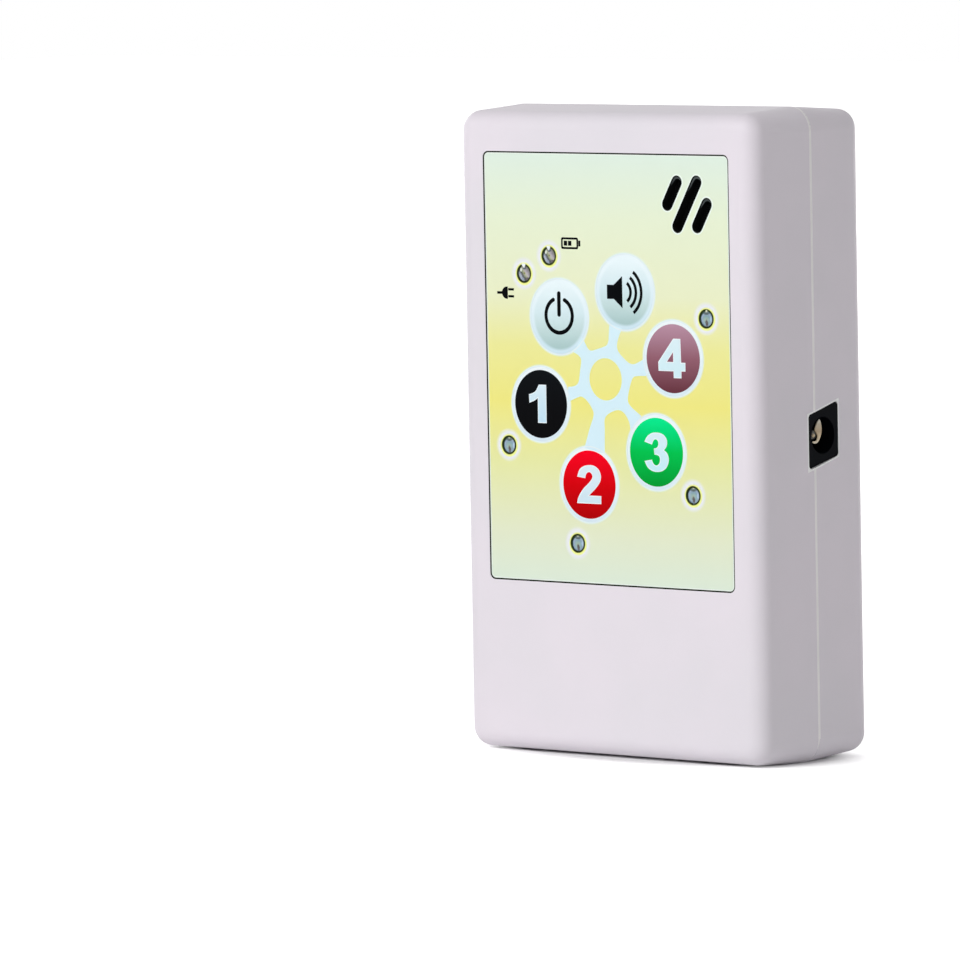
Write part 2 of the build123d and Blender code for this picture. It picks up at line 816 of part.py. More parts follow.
# ---- chips, crystal and capacitors on the board's back ----
with BuildPart() as main_chip:
    with BuildSketch(front_plane(board_back_y)):
        with Locations((0, chip_z)):
            Rectangle(chip_size, chip_size)
    extrude(amount=-chip_rise)
    with BuildSketch(front_plane(board_back_y)):
        with Locations((0, chip_z)):
            with GridLocations(0, chip_pin_pitch, 1, chip_pins):
                Rectangle(chip_size + 2 * chip_pin_reach, chip_pin_width)
            with GridLocations(chip_pin_pitch, 0, chip_pins, 1):
                Rectangle(chip_pin_width, chip_size + 2 * chip_pin_reach)
    extrude(amount=-chip_pin_thickness)
save(main_chip, "main_chip")

with BuildPart() as sound_chip:
    with BuildSketch(front_plane(board_back_y)):
        with Locations((sound_chip_x, power_row_z)):
            Rectangle(sound_chip_width, sound_chip_height)
    extrude(amount=-sound_chip_rise)
    with BuildSketch(front_plane(board_back_y)):
        with Locations((sound_chip_x, power_row_z)):
            with GridLocations(0, sound_chip_pitch, 1, sound_chip_pins):
                Rectangle(sound_chip_width + 2 * chip_pin_reach, chip_pin_width)
    extrude(amount=-chip_pin_thickness)
save(sound_chip, "sound_chip")

with BuildPart() as crystal:
    with BuildSketch(front_plane(board_back_y)):
        with Locations((crystal_x, crystal_z)):
            SlotOverall(crystal_length, crystal_width)
    extrude(amount=-crystal_rise)
save(crystal, "crystal")

with BuildPart() as capacitors:
    with BuildSketch(front_plane(board_back_y)):
        with Locations(*capacitor_places):
            Circle(capacitor_radius)
    extrude(amount=-capacitor_rise)
    chamfer(capacitors.faces().sort_by(Axis.Y)[-2:].edges(), capacitor_edge)
save(capacitors, "capacitors")
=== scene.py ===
import bmesh
import bpy
import numpy as np
from mathutils import Matrix, Vector
from mathutils.geometry import tessellate_polygon


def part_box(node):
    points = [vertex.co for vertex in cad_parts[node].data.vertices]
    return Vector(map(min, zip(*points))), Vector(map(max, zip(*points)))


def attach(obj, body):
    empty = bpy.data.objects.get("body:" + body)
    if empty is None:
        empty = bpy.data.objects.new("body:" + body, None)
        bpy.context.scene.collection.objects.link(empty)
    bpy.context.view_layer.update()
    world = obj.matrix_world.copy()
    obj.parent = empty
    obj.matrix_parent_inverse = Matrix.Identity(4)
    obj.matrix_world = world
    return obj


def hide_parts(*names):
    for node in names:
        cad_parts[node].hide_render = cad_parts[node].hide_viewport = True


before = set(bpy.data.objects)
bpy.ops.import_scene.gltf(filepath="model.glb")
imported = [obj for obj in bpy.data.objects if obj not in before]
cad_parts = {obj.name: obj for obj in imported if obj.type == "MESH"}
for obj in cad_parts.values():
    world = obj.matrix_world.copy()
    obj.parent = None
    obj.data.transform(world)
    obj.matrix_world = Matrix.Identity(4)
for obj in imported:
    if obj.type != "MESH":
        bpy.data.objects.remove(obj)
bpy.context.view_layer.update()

MM = 0.001
KEYS = ("power", "volume", "4", "3", "2", "1")  # clockwise round the hub
LAMPS = ("power", "battery", "1", "2", "3", "4")


def box_mm(node):
    """Lowest and highest corner of a CAD solid, in millimetres."""
    low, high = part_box(node)
    return np.array(low) / MM, np.array(high) / MM


def centre_mm(node):
    """Middle of a CAD solid as (x, z), in millimetres."""
    low, high = box_mm(node)
    return (low + high)[[0, 2]] / 2


# ---- sizes read from the frame, in millimetres; a place on the front is (x, z) ----
film_low, film_high = box_mm("keypad_overlay")
film_face = film_low[1]
film_middle = (film_low + film_high)[[0, 2]] / 2
film_size = (film_high - film_low)[[0, 2]]
key_places = {key: centre_mm(f"key_{key}") for key in KEYS}
lamp_places = {lamp: centre_mm(f"led_{lamp}") for lamp in LAMPS}
key_radius = np.ptp(box_mm("key_1"), axis=0)[0] / 2
hub_place = film_middle + (-0.55, -1.65)
sound_place = np.array((film_high[0] - 9.0, film_face, film_high[2] - 8.25))

# ---- sizes of the print and the trim, in millimetres ----
FILM_CORNER = 0.9
JOINT_WIDTH = 0.25  # between the film's edge and the case
INK = 0.02  # thickness of one printed layer
DISC_RADIUS = 5.87
LIP_RADIUS = 6.66
HUB_HOLE = 3.62
DIGIT_EDGE = 0.17  # the white edge round a digit's tinted middle
LENS_RADIUS = 1.56
LAMP_RADIUS = 1.5  # where the lamps' own map reaches 1
# radii of the dark ring of painted shade round each lens
SHADE_RING_OUTSIDE, SHADE_RING_INSIDE = 1.59, 1.34
SLOT_TILT = np.radians(29.5)
SLOT_WIDTH = 2.1
SLOT_PITCH = 3.74
SPRING_DEPTH, SPRING_THICKNESS = 0.95, 0.2
SOCKET_HALF = np.array((20.0, 4.1, 4.6))  # half of the socket's nose, taken right through the wall
SOCKET_RAKE = np.tan(np.radians(13.7))  # the nose's ends rise towards the back
SOCKET_HIGHLIGHT_WIDTH = 0.4  # from the nose to the outside of the painted highlight round it
CASE_CORNER = 4.2
SCREW_RADIUS = 2.0

NOISE_LOW, NOISE_HIGH = 0.35, 0.65  # most of a noise texture lies between these
# black laid on the walls of the sound slots as painted shade
SLOT_SHADE_BLACK = "#0A0B0C"


# ---- colour and nodes ----
def linear(code):
    """Linear RGBA of an sRGB hex colour: c / 12.92 to 0.04045, ((c + 0.055) / 1.055)^2.4 above."""
    channel = np.array([int(code[i:i + 2], 16) for i in (1, 3, 5)]) / 255
    value = np.where(channel <= 0.04045, channel / 12.92, ((channel + 0.055) / 1.055) ** 2.4)
    return (*value.tolist(), 1.0)


def add(tree, kind, links=(), stops=(), **settings):
    """Adds a node, gives it its settings, then links or sets each input by name or number: a hex
    string is set as its linear colour. Stops are the (position, hex) points of a colour ramp."""
    made = tree.nodes.new("ShaderNode" + kind)
    for name, value in settings.items():
        setattr(made, name, value)
    for socket, value in dict(links).items():
        if isinstance(value, bpy.types.NodeSocket):
            tree.links.new(value, made.inputs[socket])
        else:
            made.inputs[socket].default_value = linear(value) if isinstance(value, str) else value
    points = made.color_ramp.elements if stops else ()
    while len(points) < len(stops):
        points.new(0.5)
    for point, (position, code) in zip(points, stops):
        point.position = position
        point.color = linear(code)
    return made


def new_finish(name, colour, roughness, ior=1.5, gloss=0.5, sockets=()):
    """A material with one Principled shader and its sockets set; gloss is the specular level."""
    finish = bpy.data.materials.new(name)
    finish.use_nodes = True
    shader = finish.node_tree.nodes["Principled BSDF"]
    for socket, value in {"Base Color": linear(colour), "Roughness": roughness, "IOR": ior,
                          "Specular IOR Level": gloss, **dict(sockets)}.items():
        shader.inputs[socket].default_value = value
    return finish, finish.node_tree, shader


def along(tree, axis, start, end):
    """0 to 1 as one object coordinate goes from start to end, in millimetres."""
    place = add(tree, "TexCoord").outputs["Object"]
    value = add(tree, "SeparateXYZ", {0: place}).outputs[axis]
    return add(tree, "MapRange", {0: value, 1: start * MM, 2: end * MM}).outputs[0]


def extreme(tree, operation, values):
    """The MINIMUM or MAXIMUM of several values, each compared with the one kept so far."""
    kept, *rest = values
    for value in rest:
        kept = add(tree, "Math", {0: kept, 1: value}, operation=operation).outputs[0]
    return kept


def within(tree, low, high, rake=0.0):
    """1 inside the box from low to high in millimetres, 0 outside: the largest of the three
    distances from its middle, each over its half size, is compared with 1. A raked box rises by
    that much for each step back, as y grows."""
    place = add(tree, "TexCoord").outputs["Object"]
    middle = tuple((low + high) / 2 * MM)
    centred = add(tree, "VectorMath", {0: place, 1: middle}, operation="SUBTRACT")
    axes = np.eye(3)
    axes[2, 1] = -rake
    size = []
    for axis, reach in zip(axes, (high - low) / 2):
        shares = tuple(axis / (reach * MM))
        share = add(tree, "VectorMath", {0: centred.outputs[0], 1: shares}, operation="DOT_PRODUCT")
        size.append(add(tree, "Math", {0: share.outputs["Value"]}, operation="ABSOLUTE").outputs[0])
    largest = extreme(tree, "MAXIMUM", size)
    return add(tree, "Math", {0: largest, 1: 1.0}, operation="LESS_THAN").outputs[0]


def grain(tree, shader, size, depth, rough, stretch=(1, 1, 1)):
    """Surface grain of the given size and depth in mm: noise lifts the surface and spreads the
    roughness between two values. Stretch below 1 draws the grain out along that axis."""
    place = add(tree, "TexCoord").outputs["Object"]
    scaled = add(tree, "Mapping", {"Vector": place, "Scale": stretch}).outputs[0]
    noise = add(tree, "TexNoise", {"Vector": scaled, "Scale": 1 / (size * MM), "Detail": 3.0})
    height = noise.outputs["Fac"]
    bump = add(tree, "Bump", {"Height": height, "Distance": depth * MM})
    tree.links.new(bump.outputs[0], shader.inputs["Normal"])
    spread = add(tree, "MapRange", {
        0: height, 1: NOISE_LOW, 2: NOISE_HIGH, 3: rough[0], 4: rough[1]})
    tree.links.new(spread.outputs[0], shader.inputs["Roughness"])


def paint(tree, shader, colour, *layers):
    """Lays (factor, colour) layers over a colour, one after another, each as strongly as its
    factor, and links the last to the shader's base colour. Colours are hex strings or sockets."""
    for factor, over in layers:
        colour = add(tree, "Mix", {0: factor, 6: colour, 7: over}, data_type="RGBA").outputs[2]
    tree.links.new(colour, shader.inputs["Base Color"])
    return colour


def tone(tree, shader, size, first, second):
    """Slow change between two hex colours over patches of the given size in mm."""
    place = add(tree, "TexCoord").outputs["Object"]
    noise = add(tree, "TexNoise", {"Vector": place, "Scale": 1 / (size * MM), "Detail": 2.0})
    factor = add(tree, "MapRange", {0: noise.outputs["Fac"], 1: NOISE_LOW, 2: NOISE_HIGH})
    return paint(tree, shader, first, (factor.outputs[0], second))


def nearest(tree, places, depth):
    """Distance in metres to the nearest of several places (x, z) at one depth."""
    position = add(tree, "TexCoord").outputs["Object"]
    gaps = []
    for x, z in places:
        centre = (x * MM, depth * MM, z * MM)
        gap = add(tree, "VectorMath", {0: position, 1: centre}, operation="DISTANCE")
        gaps.append(gap.outputs["Value"])
    return extreme(tree, "MINIMUM", gaps)


def slot_walls(tree, start, end):
    """1 on the walls of the sound slots, between two steps back from the film's face, where painted
    shade is laid.
    """
    reach = np.array((8.0, 0.0, 8.0))
    return within(tree, sound_place - reach + (0, start, 0), sound_place + reach + (0, end, 0))


# ---- finishes ----
def spark_textured_abs():
    """Off-white ABS moulded in a spark-eroded tool: an even satin with a fine pebble. The real
    pebble is about 0.05 mm; it is drawn 0.3 mm wide so that it shows. The walls of the sound
    slots are coloured black as painted shade, and a white band round the power socket's cut edge
    is a painted highlight."""
    finish, tree, shader = new_finish("spark_textured_abs", "#E7E1E8", 0.45, 1.54, 0.3)
    grain(tree, shader, 0.3, 0.006, (0.42, 0.54))
    colour = tone(tree, shader, 22.0, "#E9E2EA", "#E5E0E7")
    low, high = box_mm("dc_jack_pin")
    middle, half = (low + high) / 2, SOCKET_HALF + SOCKET_HIGHLIGHT_WIDTH
    edge = within(tree, middle - half, middle + half, SOCKET_RAKE)
    # painted shade: black on the slot walls; painted highlight: white round the socket's edge
    paint(tree, shader, colour, (slot_walls(tree, 0.38, 2.1), SLOT_SHADE_BLACK), (edge, "#FFFFFF"))
    return finish


def printed_polycarbonate():
    """Velvet polycarbonate film, printed on its back: pale green fading to warm yellow at the
    height of the hub and back again. Soft white halos fade out round the keys and the lamps,
    and close round each lamp are a bright yellow ring and a thin olive rim, the rim being painted
    shade of the gap round the lamp. Each ring is full up to one radius and gone at the next. The
    cut walls of the sound slots are black as painted shade."""
    finish, tree, shader = new_finish("printed_polycarbonate", "#EDEDA0", 0.36, 1.585, 0.15)
    height = along(tree, 2, film_low[2], film_high[2])
    fade = add(tree, "ValToRGB", {0: height}, stops=(
        (0.0, "#DFEDDB"), (0.11, "#E5ECCE"), (0.28, "#E9ECA8"), (0.42, "#F2EB84"),
        (0.55, "#EFED9B"), (0.67, "#ECF1CA"), (0.85, "#E9F3D6"), (1.0, "#E1F1E4"))).outputs[0]
    to_key = nearest(tree, key_places.values(), film_face)
    to_lamp = nearest(tree, lamp_places.values(), film_face)
    to_ring = nearest(tree, [place + (0.05, -0.07) for place in lamp_places.values()], film_face)
    rings = []
    # the last ring, the thin olive rim, is painted shade of the gap round each lamp
    for gap, full, gone, strength, code in (
            (to_key, 6.5, 6.95, 0.9, "#E6F6F8"), (to_lamp, 2.3, 2.95, 1.0, "#EDF0F4"),
            (to_ring, 1.82, 2.08, 0.9, "#F6FC84"), (to_lamp, 1.62, 1.72, 1.0, "#6E7A22")):
        ring = add(tree, "MapRange", {0: gap, 1: full * MM, 2: gone * MM, 3: strength, 4: 0.0})
        rings.append((ring.outputs[0], code))
    # black on the slot walls is painted shade
    paint(tree, shader, fade, *rings, (slot_walls(tree, 0.012, 2.0), SLOT_SHADE_BLACK))
    grain(tree, shader, 0.35, 0.002, (0.32, 0.4))
    return finish


def screen_ink(name, colours, place=film_middle, reach=film_size[1] / 2, gloss=0.08):
    """Screen-printed ink under a velvet lacquer: its colours run from the bottom to the top of
    what is printed, the film unless told, and a fine orange peel breaks the gloss."""
    finish, tree, shader = new_finish(name, colours[0], 0.33, gloss=gloss)
    height = along(tree, 2, place[1] - reach, place[1] + reach)
    share = np.linspace(0, 1, len(colours)).tolist()
    fade = add(tree, "ValToRGB", {0: height}, stops=tuple(zip(share, colours)))
    paint(tree, shader, fade.outputs[0])
    grain(tree, shader, 0.4, 0.0015, (0.29, 0.37))
    return finish


def domed_lacquer(name, place):
    """Pale lacquer poured into a low dome: its colours run from the bottom to the top, and a
    lighter rim fades in towards the edge."""
    finish, tree, shader = new_finish(name, "#E8F4F7", 0.3, gloss=0.12)
    height = along(tree, 2, place[1] - key_radius, place[1] + key_radius)
    fade = add(tree, "ValToRGB", {0: height}, stops=(
        (0.06, "#A8C8C8"), (0.3, "#C4DDDD"), (0.55, "#D8EDF2"), (0.9, "#ECFAFE")))
    edge = add(tree, "ValToRGB", {0: height}, stops=((0.1, "#D2EAF4"), (0.8, "#EEFBFF")))
    gap = nearest(tree, [place], film_face)
    rim = add(tree, "MapRange", {0: gap, 1: 5.4 * MM, 2: 5.9 * MM}).outputs[0]
    paint(tree, shader, fade.outputs[0], (rim, edge.outputs[0]))
    grain(tree, shader, 0.4, 0.001, (0.27, 0.33))
    return finish


def lamp_epoxy(name, bands, spots, slanted):
    """Clear cast epoxy over a silvered lead frame: a wet gloss, and under it the colours of the
    frame's cup, gap and post, mixed with painted reflections, highlights and shade of the lens.
    The bands run across the lamp when slanted, else out from the cup, and each spot is an oval
    (hex, middle, half size). The map is the lamp's own, 1 at its edge."""
    finish, tree, shader = new_finish(
        name, "#A9C9C4", 0.1, 1.53, sockets={"Coat Weight": 0.4, "Coat Roughness": 0.04})
    place = add(tree, "UVMap").outputs[0]
    ripple = add(tree, "TexNoise", {"Vector": place, "Scale": 2.2, "Detail": 2.0})
    pushed = add(tree, "Mix", {0: 0.24, 4: place, 5: ripple.outputs["Color"]},
                 data_type="VECTOR").outputs[1]
    if slanted:
        reach = add(tree, "VectorMath", {0: pushed, 1: (0.52, 0.38, 0)}, operation="DOT_PRODUCT")
        share = add(tree, "Math", {0: reach.outputs["Value"], 1: 0.4}).outputs[0]
    else:
        reach = add(tree, "VectorMath", {0: pushed, 1: (0.12, 0.03, 0.12)}, operation="DISTANCE")
        share = reach.outputs["Value"]
    colour = add(tree, "ValToRGB", {0: share}, stops=bands).outputs[0]
    layers = []
    for code, middle, half in spots:
        centred = add(tree, "VectorMath", {0: place, 1: (*middle, 0)}, operation="SUBTRACT")
        scaled = add(tree, "VectorMath", {0: centred.outputs[0], 1: (*half, 1)}, operation="DIVIDE")
        away = add(tree, "VectorMath", {0: scaled.outputs[0]}, operation="LENGTH").outputs["Value"]
        inside = add(tree, "MapRange", {0: away, 1: 0.6, 2: 1.15, 3: 1.0, 4: 0.0}).outputs[0]
        layers.append((inside, code))
    paint(tree, shader, colour, *layers)
    grain(tree, shader, 0.5, 0.002, (0.08, 0.14))
    return finish


def brushed_bronze(middle_z):
    """Phosphor bronze brushed along the spring, too fine to mirror: tan along its flat middle, and
    cream at either end as a painted highlight where it bends to the light. Dull enough to be drawn
    as a dielectric."""
    finish, tree, shader = new_finish("brushed_bronze", "#CDB48F", 0.36)
    height = along(tree, 2, middle_z - 1.5, middle_z + 2.8)
    # painted highlight: cream at both ends of the ramp
    fade = add(tree, "ValToRGB", {0: height}, stops=(
        (0.0, "#FFF3DC"), (0.22, "#E9D3AE"), (0.5, "#BFA682"), (0.8, "#C9BCA4"), (1.0, "#F0ECE2")))
    paint(tree, shader, fade.outputs[0])
    grain(tree, shader, 0.2, 0.004, (0.3, 0.42), (1, 1, 0.2))
    return finish


def clear_epoxy():
    """Cast epoxy lens: clear and glossy, so the lead frame inside shows, with faint flow marks."""
    finish, tree, shader = new_finish(
        "clear_epoxy", "#F7FAF6", 0.03, 1.53, sockets={"Transmission Weight": 1.0})
    grain(tree, shader, 0.9, 0.001, (0.02, 0.06))
    return finish


def metal(name, colour, shade, rough, size=0.25):
    """Plated or bare metal: a mirror dulled by fine marks, slightly tarnished between two tones."""
    finish, tree, shader = new_finish(name, colour, rough[0], sockets={"Metallic": 1.0})
    tone(tree, shader, 6 * size, colour, shade)
    grain(tree, shader, size, 0.002, rough)
    return finish


def moulded(name, colour, shade, rough, size=0.3, depth=0.004, gloss=0.5):
    """Moulded plastic or rubber: two close tones, with the tool's fine grain. A lower gloss keeps
    a matt black deep."""
    finish, tree, shader = new_finish(name, colour, rough[0], gloss=gloss)
    tone(tree, shader, 12 * size, colour, shade)
    grain(tree, shader, size, depth, rough)
    return finish


def two_part(name, box, inside, outside):
    """One solid that is two materials: inside the box it is a plastic of the first colour, and
    outside it is bright metal."""
    finish, tree, shader = new_finish(name, inside, 0.35)
    factor = within(tree, *box)
    paint(tree, shader, outside, (factor, inside))
    shine = add(tree, "Math", {0: 1.0, 1: factor}, operation="SUBTRACT").outputs[0]
    tree.links.new(shine, shader.inputs["Metallic"])
    grain(tree, shader, 0.3, 0.003, (0.35, 0.5))
    return finish


def solder_mask(name, colour, track):
    """Coloured lacquer over fibreglass and copper: the tracks underneath show as thin paler lines
    on a 2.5 mm pitch, with square turns, and stand slightly proud."""
    finish, tree, shader = new_finish(name, colour, 0.3, sockets={"Coat Weight": 0.4})
    place = add(tree, "TexCoord").outputs["Object"]
    cells = add(tree, "TexVoronoi", {"Vector": place, "Scale": 1 / (2.5 * MM)},
                distance="MANHATTAN", feature="F2")
    lines = add(tree, "MapRange", {0: cells.outputs["Distance"], 1: 0.9, 2: 0.94}).outputs[0]
    paint(tree, shader, colour, (lines, track))
    bump = add(tree, "Bump", {"Height": lines, "Distance": 0.03 * MM})
    tree.links.new(bump.outputs[0], shader.inputs["Normal"])
    return finish


def speaker_cloth():
    """Black plain weave: sine waves across and along, one thread's pitch apart, lift the crossings
    and darken the gaps."""
    pitch = 0.35
    finish, tree, shader = new_finish("speaker_cloth", "#060606", 0.85, gloss=0.05)
    place = add(tree, "TexCoord").outputs["Object"]
    waves = []
    for axis in ("X", "Z"):
        wave = add(tree, "TexWave", {"Vector": place, "Scale": 0.314 / (pitch * MM)},
                   bands_direction=axis)
        waves.append(wave.outputs["Fac"])
    weave = add(tree, "Math", {0: waves[0], 1: waves[1]}, operation="MULTIPLY").outputs[0]
    paint(tree, shader, "#060606", (weave, "#1E1E20"))
    bump = add(tree, "Bump", {"Height": weave, "Distance": 0.05 * MM})
    tree.links.new(bump.outputs[0], shader.inputs["Normal"])
    return finish


def paired_leads(name, middle_x):
    """Two PVC-covered wires side by side: black left of the middle, red right of it."""
    finish, tree, shader = new_finish(name, "#15161A", 0.4)
    paint(tree, shader, "#15161A", (along(tree, 0, middle_x, middle_x + 0.01), "#B81E1E"))
    grain(tree, shader, 0.4, 0.003, (0.35, 0.45))
    return finish


def dress(finish, *names):
    """Gives CAD solids a finish, in place of the materials they have."""
    for name in names:
        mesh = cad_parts[name].data
        mesh.materials.clear()
        mesh.materials.append(finish)


def dress_solids():
    """Every solid of the frame gets the finish of the real piece."""
    dress(spark_textured_abs(), "front_shell", "rear_shell")
    dress(printed_polycarbonate(), "keypad_overlay")
    dress(moulded("acrylic_tape", "#C9CCC6", "#BDC0BA", (0.5, 0.65), 0.6), "overlay_adhesive")
    pom = moulded("white_acetal", "#E6E6E1", "#DDDDD8", (0.35, 0.45))
    black_nylon = moulded("black_nylon", "#17181A", "#202123", (0.4, 0.55), gloss=0.3)
    for key in KEYS:
        halo = ("#DCEDF6", "#EAF7FC", "#F2FBFE")
        dress(screen_ink(f"halo_{key}", halo, key_places[key], key_radius), f"key_{key}")
        dress(pom, f"plunger_{key}")
        dress(black_nylon, f"switch_button_{key}", f"switch_body_{key}")
    dress(clear_epoxy(), *(f"led_{lamp}" for lamp in LAMPS))
    tin = metal("tin_plate", "#D9D8D2", "#C4C2BA", (0.22, 0.36))
    dress(tin, "led_leads", "radio_can", "crystal")
    dress(solder_mask("green_solder_mask", "#0F5A34", "#2C8A57"), "main_board")
    dress(solder_mask("blue_solder_mask", "#123C7A", "#2F63A8"), "radio_board")
    zinc = metal("bright_zinc", "#C9CCD0", "#B2B4B6", (0.25, 0.4))
    dress(zinc, "board_screws", "case_screws")
    dress(speaker_cloth(), "speaker_mesh")
    dress(metal("painted_steel", "#3A3B3D", "#2E2F31", (0.4, 0.55)), "speaker_frame")
    dress(moulded("mylar_cone", "#B9A77A", "#A8966A", (0.25, 0.35), 0.5), "speaker_cone")
    dress(metal("nickel_plate", "#B8B4AA", "#A29E94", (0.2, 0.35)), "speaker_magnet")
    # the pin's dark colour is painted shade, the pin lying deep in the socket's barrel
    dress(metal("shaded_nickel", "#5C5A55", "#4A4844", (0.25, 0.4)), "dc_jack_pin")
    dress(moulded("black_pbt", "#05070B", "#07090E", (0.34, 0.46), gloss=0.02), "dc_jack_body")
    dress(metal("phosphor_bronze", "#D9B98C", "#C6A070", (0.2, 0.34)), "dc_jack_contact")
    dress(moulded("battery_wrap", "#2D5FA8", "#27549A", (0.2, 0.3), 0.8, 0.01), "battery_pack")
    dress(moulded("foam_rubber", "#2A2B2D", "#1E1F21", (0.8, 0.95), 0.5, 0.06), "battery_pad")
    white_nylon = moulded("white_nylon", "#EDEBE2", "#E4E1D6", (0.4, 0.5))
    dress(white_nylon, "battery_header", "battery_plug")
    for pair in ("battery", "speaker"):
        leads = f"{pair}_leads"
        dress(paired_leads(f"{pair}_pvc", centre_mm(leads)[0]), leads)
    dress(moulded("antenna_pvc", "#22252B", "#1A1D22", (0.35, 0.45)), "antenna_wire")
    pins_out = np.array((1.0, 0.0, 1.0))  # pins reach 1 mm beyond the chips' bodies
    for chip in ("main_chip", "sound_chip"):
        low, high = box_mm(chip)
        body = (low + pins_out, high - pins_out + (0, 0.01, 0))
        dress(two_part(f"{chip}_package", body, "#1B1C1E", "#CFCDC6"), chip)
    low, high = box_mm("capacitors")
    sleeve = (low - 1, high - (-1, 0.5, -1))
    dress(two_part("capacitor_sleeve", sleeve, "#1D2A44", "#CDCDC9"), "capacitors")


# ---- shapes, as arrays ----
def quads(rows, columns, close_rows=False, close_columns=False):
    """Four-sided faces between neighbouring points of a grid whose points are numbered row by
    row; a closed direction also joins its last line of points to its first."""
    index = np.arange(rows * columns).reshape(rows, columns)
    if close_rows:
        index = np.vstack((index, index[:1]))
    if close_columns:
        index = np.hstack((index, index[:, :1]))
    corners = (index[:-1, :-1], index[:-1, 1:], index[1:, 1:], index[1:, :-1])
    return np.stack(corners, -1).reshape(-1, 4)


def arc(centre, radius, start, end, steps=24):
    """Points centre + radius (sin t, cos t) as t goes from start to end degrees, clockwise
    from the top."""
    turn = np.radians(np.linspace(start, end, steps + 1))[:, None]
    return np.array(centre) + radius * np.hstack((np.sin(turn), np.cos(turn)))


def circle(centre, radius, steps=96):
    """A full arc without its repeated last point."""
    return arc(centre, radius, 0, 360, steps)[:-1]


def smooth(points, steps=8):
    """Catmull-Rom curve through the points: between p1 and p2 it is
    (2 p1 + (p2 - p0) t + (2 p0 - 5 p1 + 4 p2 - p3) t^2 + (3 p1 - p0 - 3 p2 + p3) t^3) / 2."""
    points = np.array(points, float)
    padded = np.vstack((2 * points[0] - points[1], points, 2 * points[-1] - points[-2]))
    p0, p1, p2, p3 = (padded[i:len(points) - 1 + i, None] for i in range(4))
    t = np.linspace(0, 1, steps, endpoint=False)[None, :, None]
    curve = (2 * p1 + (p2 - p0) * t + (2 * p0 - 5 * p1 + 4 * p2 - p3) * t ** 2
             + (3 * p1 - p0 - 3 * p2 + p3) * t ** 3) / 2
    return np.vstack((curve.reshape(-1, 2), points[-1]))


def stroke(path, width, rounded=True):
    """Outline of a line of the given width: the path moved half the width to one side, then the
    same on the other side, backwards. Rounded ends are half circles about the path's ends."""
    path = np.array(path, float)
    step = np.gradient(path, axis=0)
    across = np.stack((-step[:, 1], step[:, 0]), 1) / np.linalg.norm(step, axis=1)[:, None]
    left, right = path + across * width / 2, (path - across * width / 2)[::-1]
    if not rounded:
        return np.vstack((left, right))
    turn = np.linspace(0, np.pi, 10)[1:-1, None]
    ends = []
    for point, side in ((path[-1], across[-1]), (path[0], -across[0])):
        forward = np.array((side[1], -side[0]))
        ends.append(point + width / 2 * (side * np.cos(turn) + forward * np.sin(turn)))
    return np.vstack((left, ends[0], right, ends[1]))


def inset(outline, distance):
    """The outline moved inwards by the distance, or outwards when it is negative: each point goes
    along the mean of its two sides' normals, further at a corner, so that the sides keep the
    distance."""
    ahead = np.roll(outline, -1, axis=0) - outline
    x, z = outline.T
    area = np.sum(x * np.roll(z, -1) - np.roll(x, -1) * z)
    normal = np.stack((-ahead[:, 1], ahead[:, 0]), 1) * np.sign(area)
    normal /= np.linalg.norm(normal, axis=1)[:, None]
    mean = normal + np.roll(normal, 1, axis=0)
    mean /= np.linalg.norm(mean, axis=1)[:, None]
    stretch = np.clip(np.sum(mean * normal, axis=1), 0.45, 1.0)
    return outline + mean * (distance / stretch)[:, None]


def rectangle(low, high):
    """Four corners, from the lowest to the highest and back."""
    return np.array((low, (low[0], high[1]), high, (high[0], low[1])))


def rounded_rectangle(centre, size, radius, steps=8):
    """Four quarter arcs about the corner centres, joined by straight sides."""
    half = np.array(size) / 2 - radius
    corners = []
    for turn, sign in ((0, (1, 1)), (90, (1, -1)), (180, (-1, -1)), (270, (-1, 1))):
        corners.append(arc(np.array(centre) + half * sign, radius, turn, turn + 90, steps))
    return np.vstack(corners)


def new_object(name, data):
    """An object at the origin of the scene."""
    made = bpy.data.objects.new(name, data)
    bpy.context.scene.collection.objects.link(made)
    return made


def make_piece(name, points, faces, finish, slot, body="case"):
    """A mesh from points in millimetres: doubles are joined, faces turned outwards, edges under
    30 degrees shaded smooth. It rides on a body and takes the finish it is given. The slot is not
    used."""
    mesh = bpy.data.meshes.new(name)
    mesh.from_pydata((points * MM).tolist(), [], [list(face) for face in faces])
    work = bmesh.new()
    work.from_mesh(mesh)
    bmesh.ops.remove_doubles(work, verts=work.verts, dist=1e-4 * MM)
    bmesh.ops.dissolve_degenerate(work, edges=work.edges, dist=1e-5 * MM)
    bmesh.ops.recalc_face_normals(work, faces=work.faces)
    work.to_mesh(mesh)
    work.free()
    mesh.shade_smooth()
    mesh.set_sharp_from_angle(angle=np.radians(30))
    mesh.materials.append(finish)
    piece = new_object(name, mesh)
    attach(piece, body)
    return piece


def at_depth(outline, depth):
    """The (x, z) points of an outline as (x, depth, z)."""
    return np.insert(outline, 1, depth, axis=1)


def plate(shapes, front, back):
    """Flat plates. Each shape is a list of outlines in (x, z), the first one outside and the rest
    holes. Its triangles lie at depth front and again at depth back, and a wall of quads joins
    each outline to its copy."""
    points, faces, start = [], [], 0
    for outlines in shapes:
        flat = np.vstack(outlines)
        count = len(flat)
        points += [at_depth(flat, front), at_depth(flat, back)]
        loops = [list(map(Vector, np.column_stack((loop, np.zeros(len(loop))))))
                 for loop in outlines]
        triangles = np.array(tessellate_polygon(loops))
        faces += (triangles + start).tolist() + (triangles[:, ::-1] + start + count).tolist()
        first = start
        for loop in outlines:
            here = first + np.arange(len(loop))
            ahead = np.roll(here, -1)
            faces += np.stack((here, ahead, ahead + count, here + count), 1).tolist()
            first += len(loop)
        start += 2 * count
    return np.vstack(points), faces


def printed(name, shapes, finish, slot, body="case", layer=1, thickness=INK):
    """Flat print on the film, whose face is `layer` layers of ink proud of the film."""
    front = film_face - layer * INK
    make_piece(name, *plate(shapes, front, front + thickness), finish, slot, body)


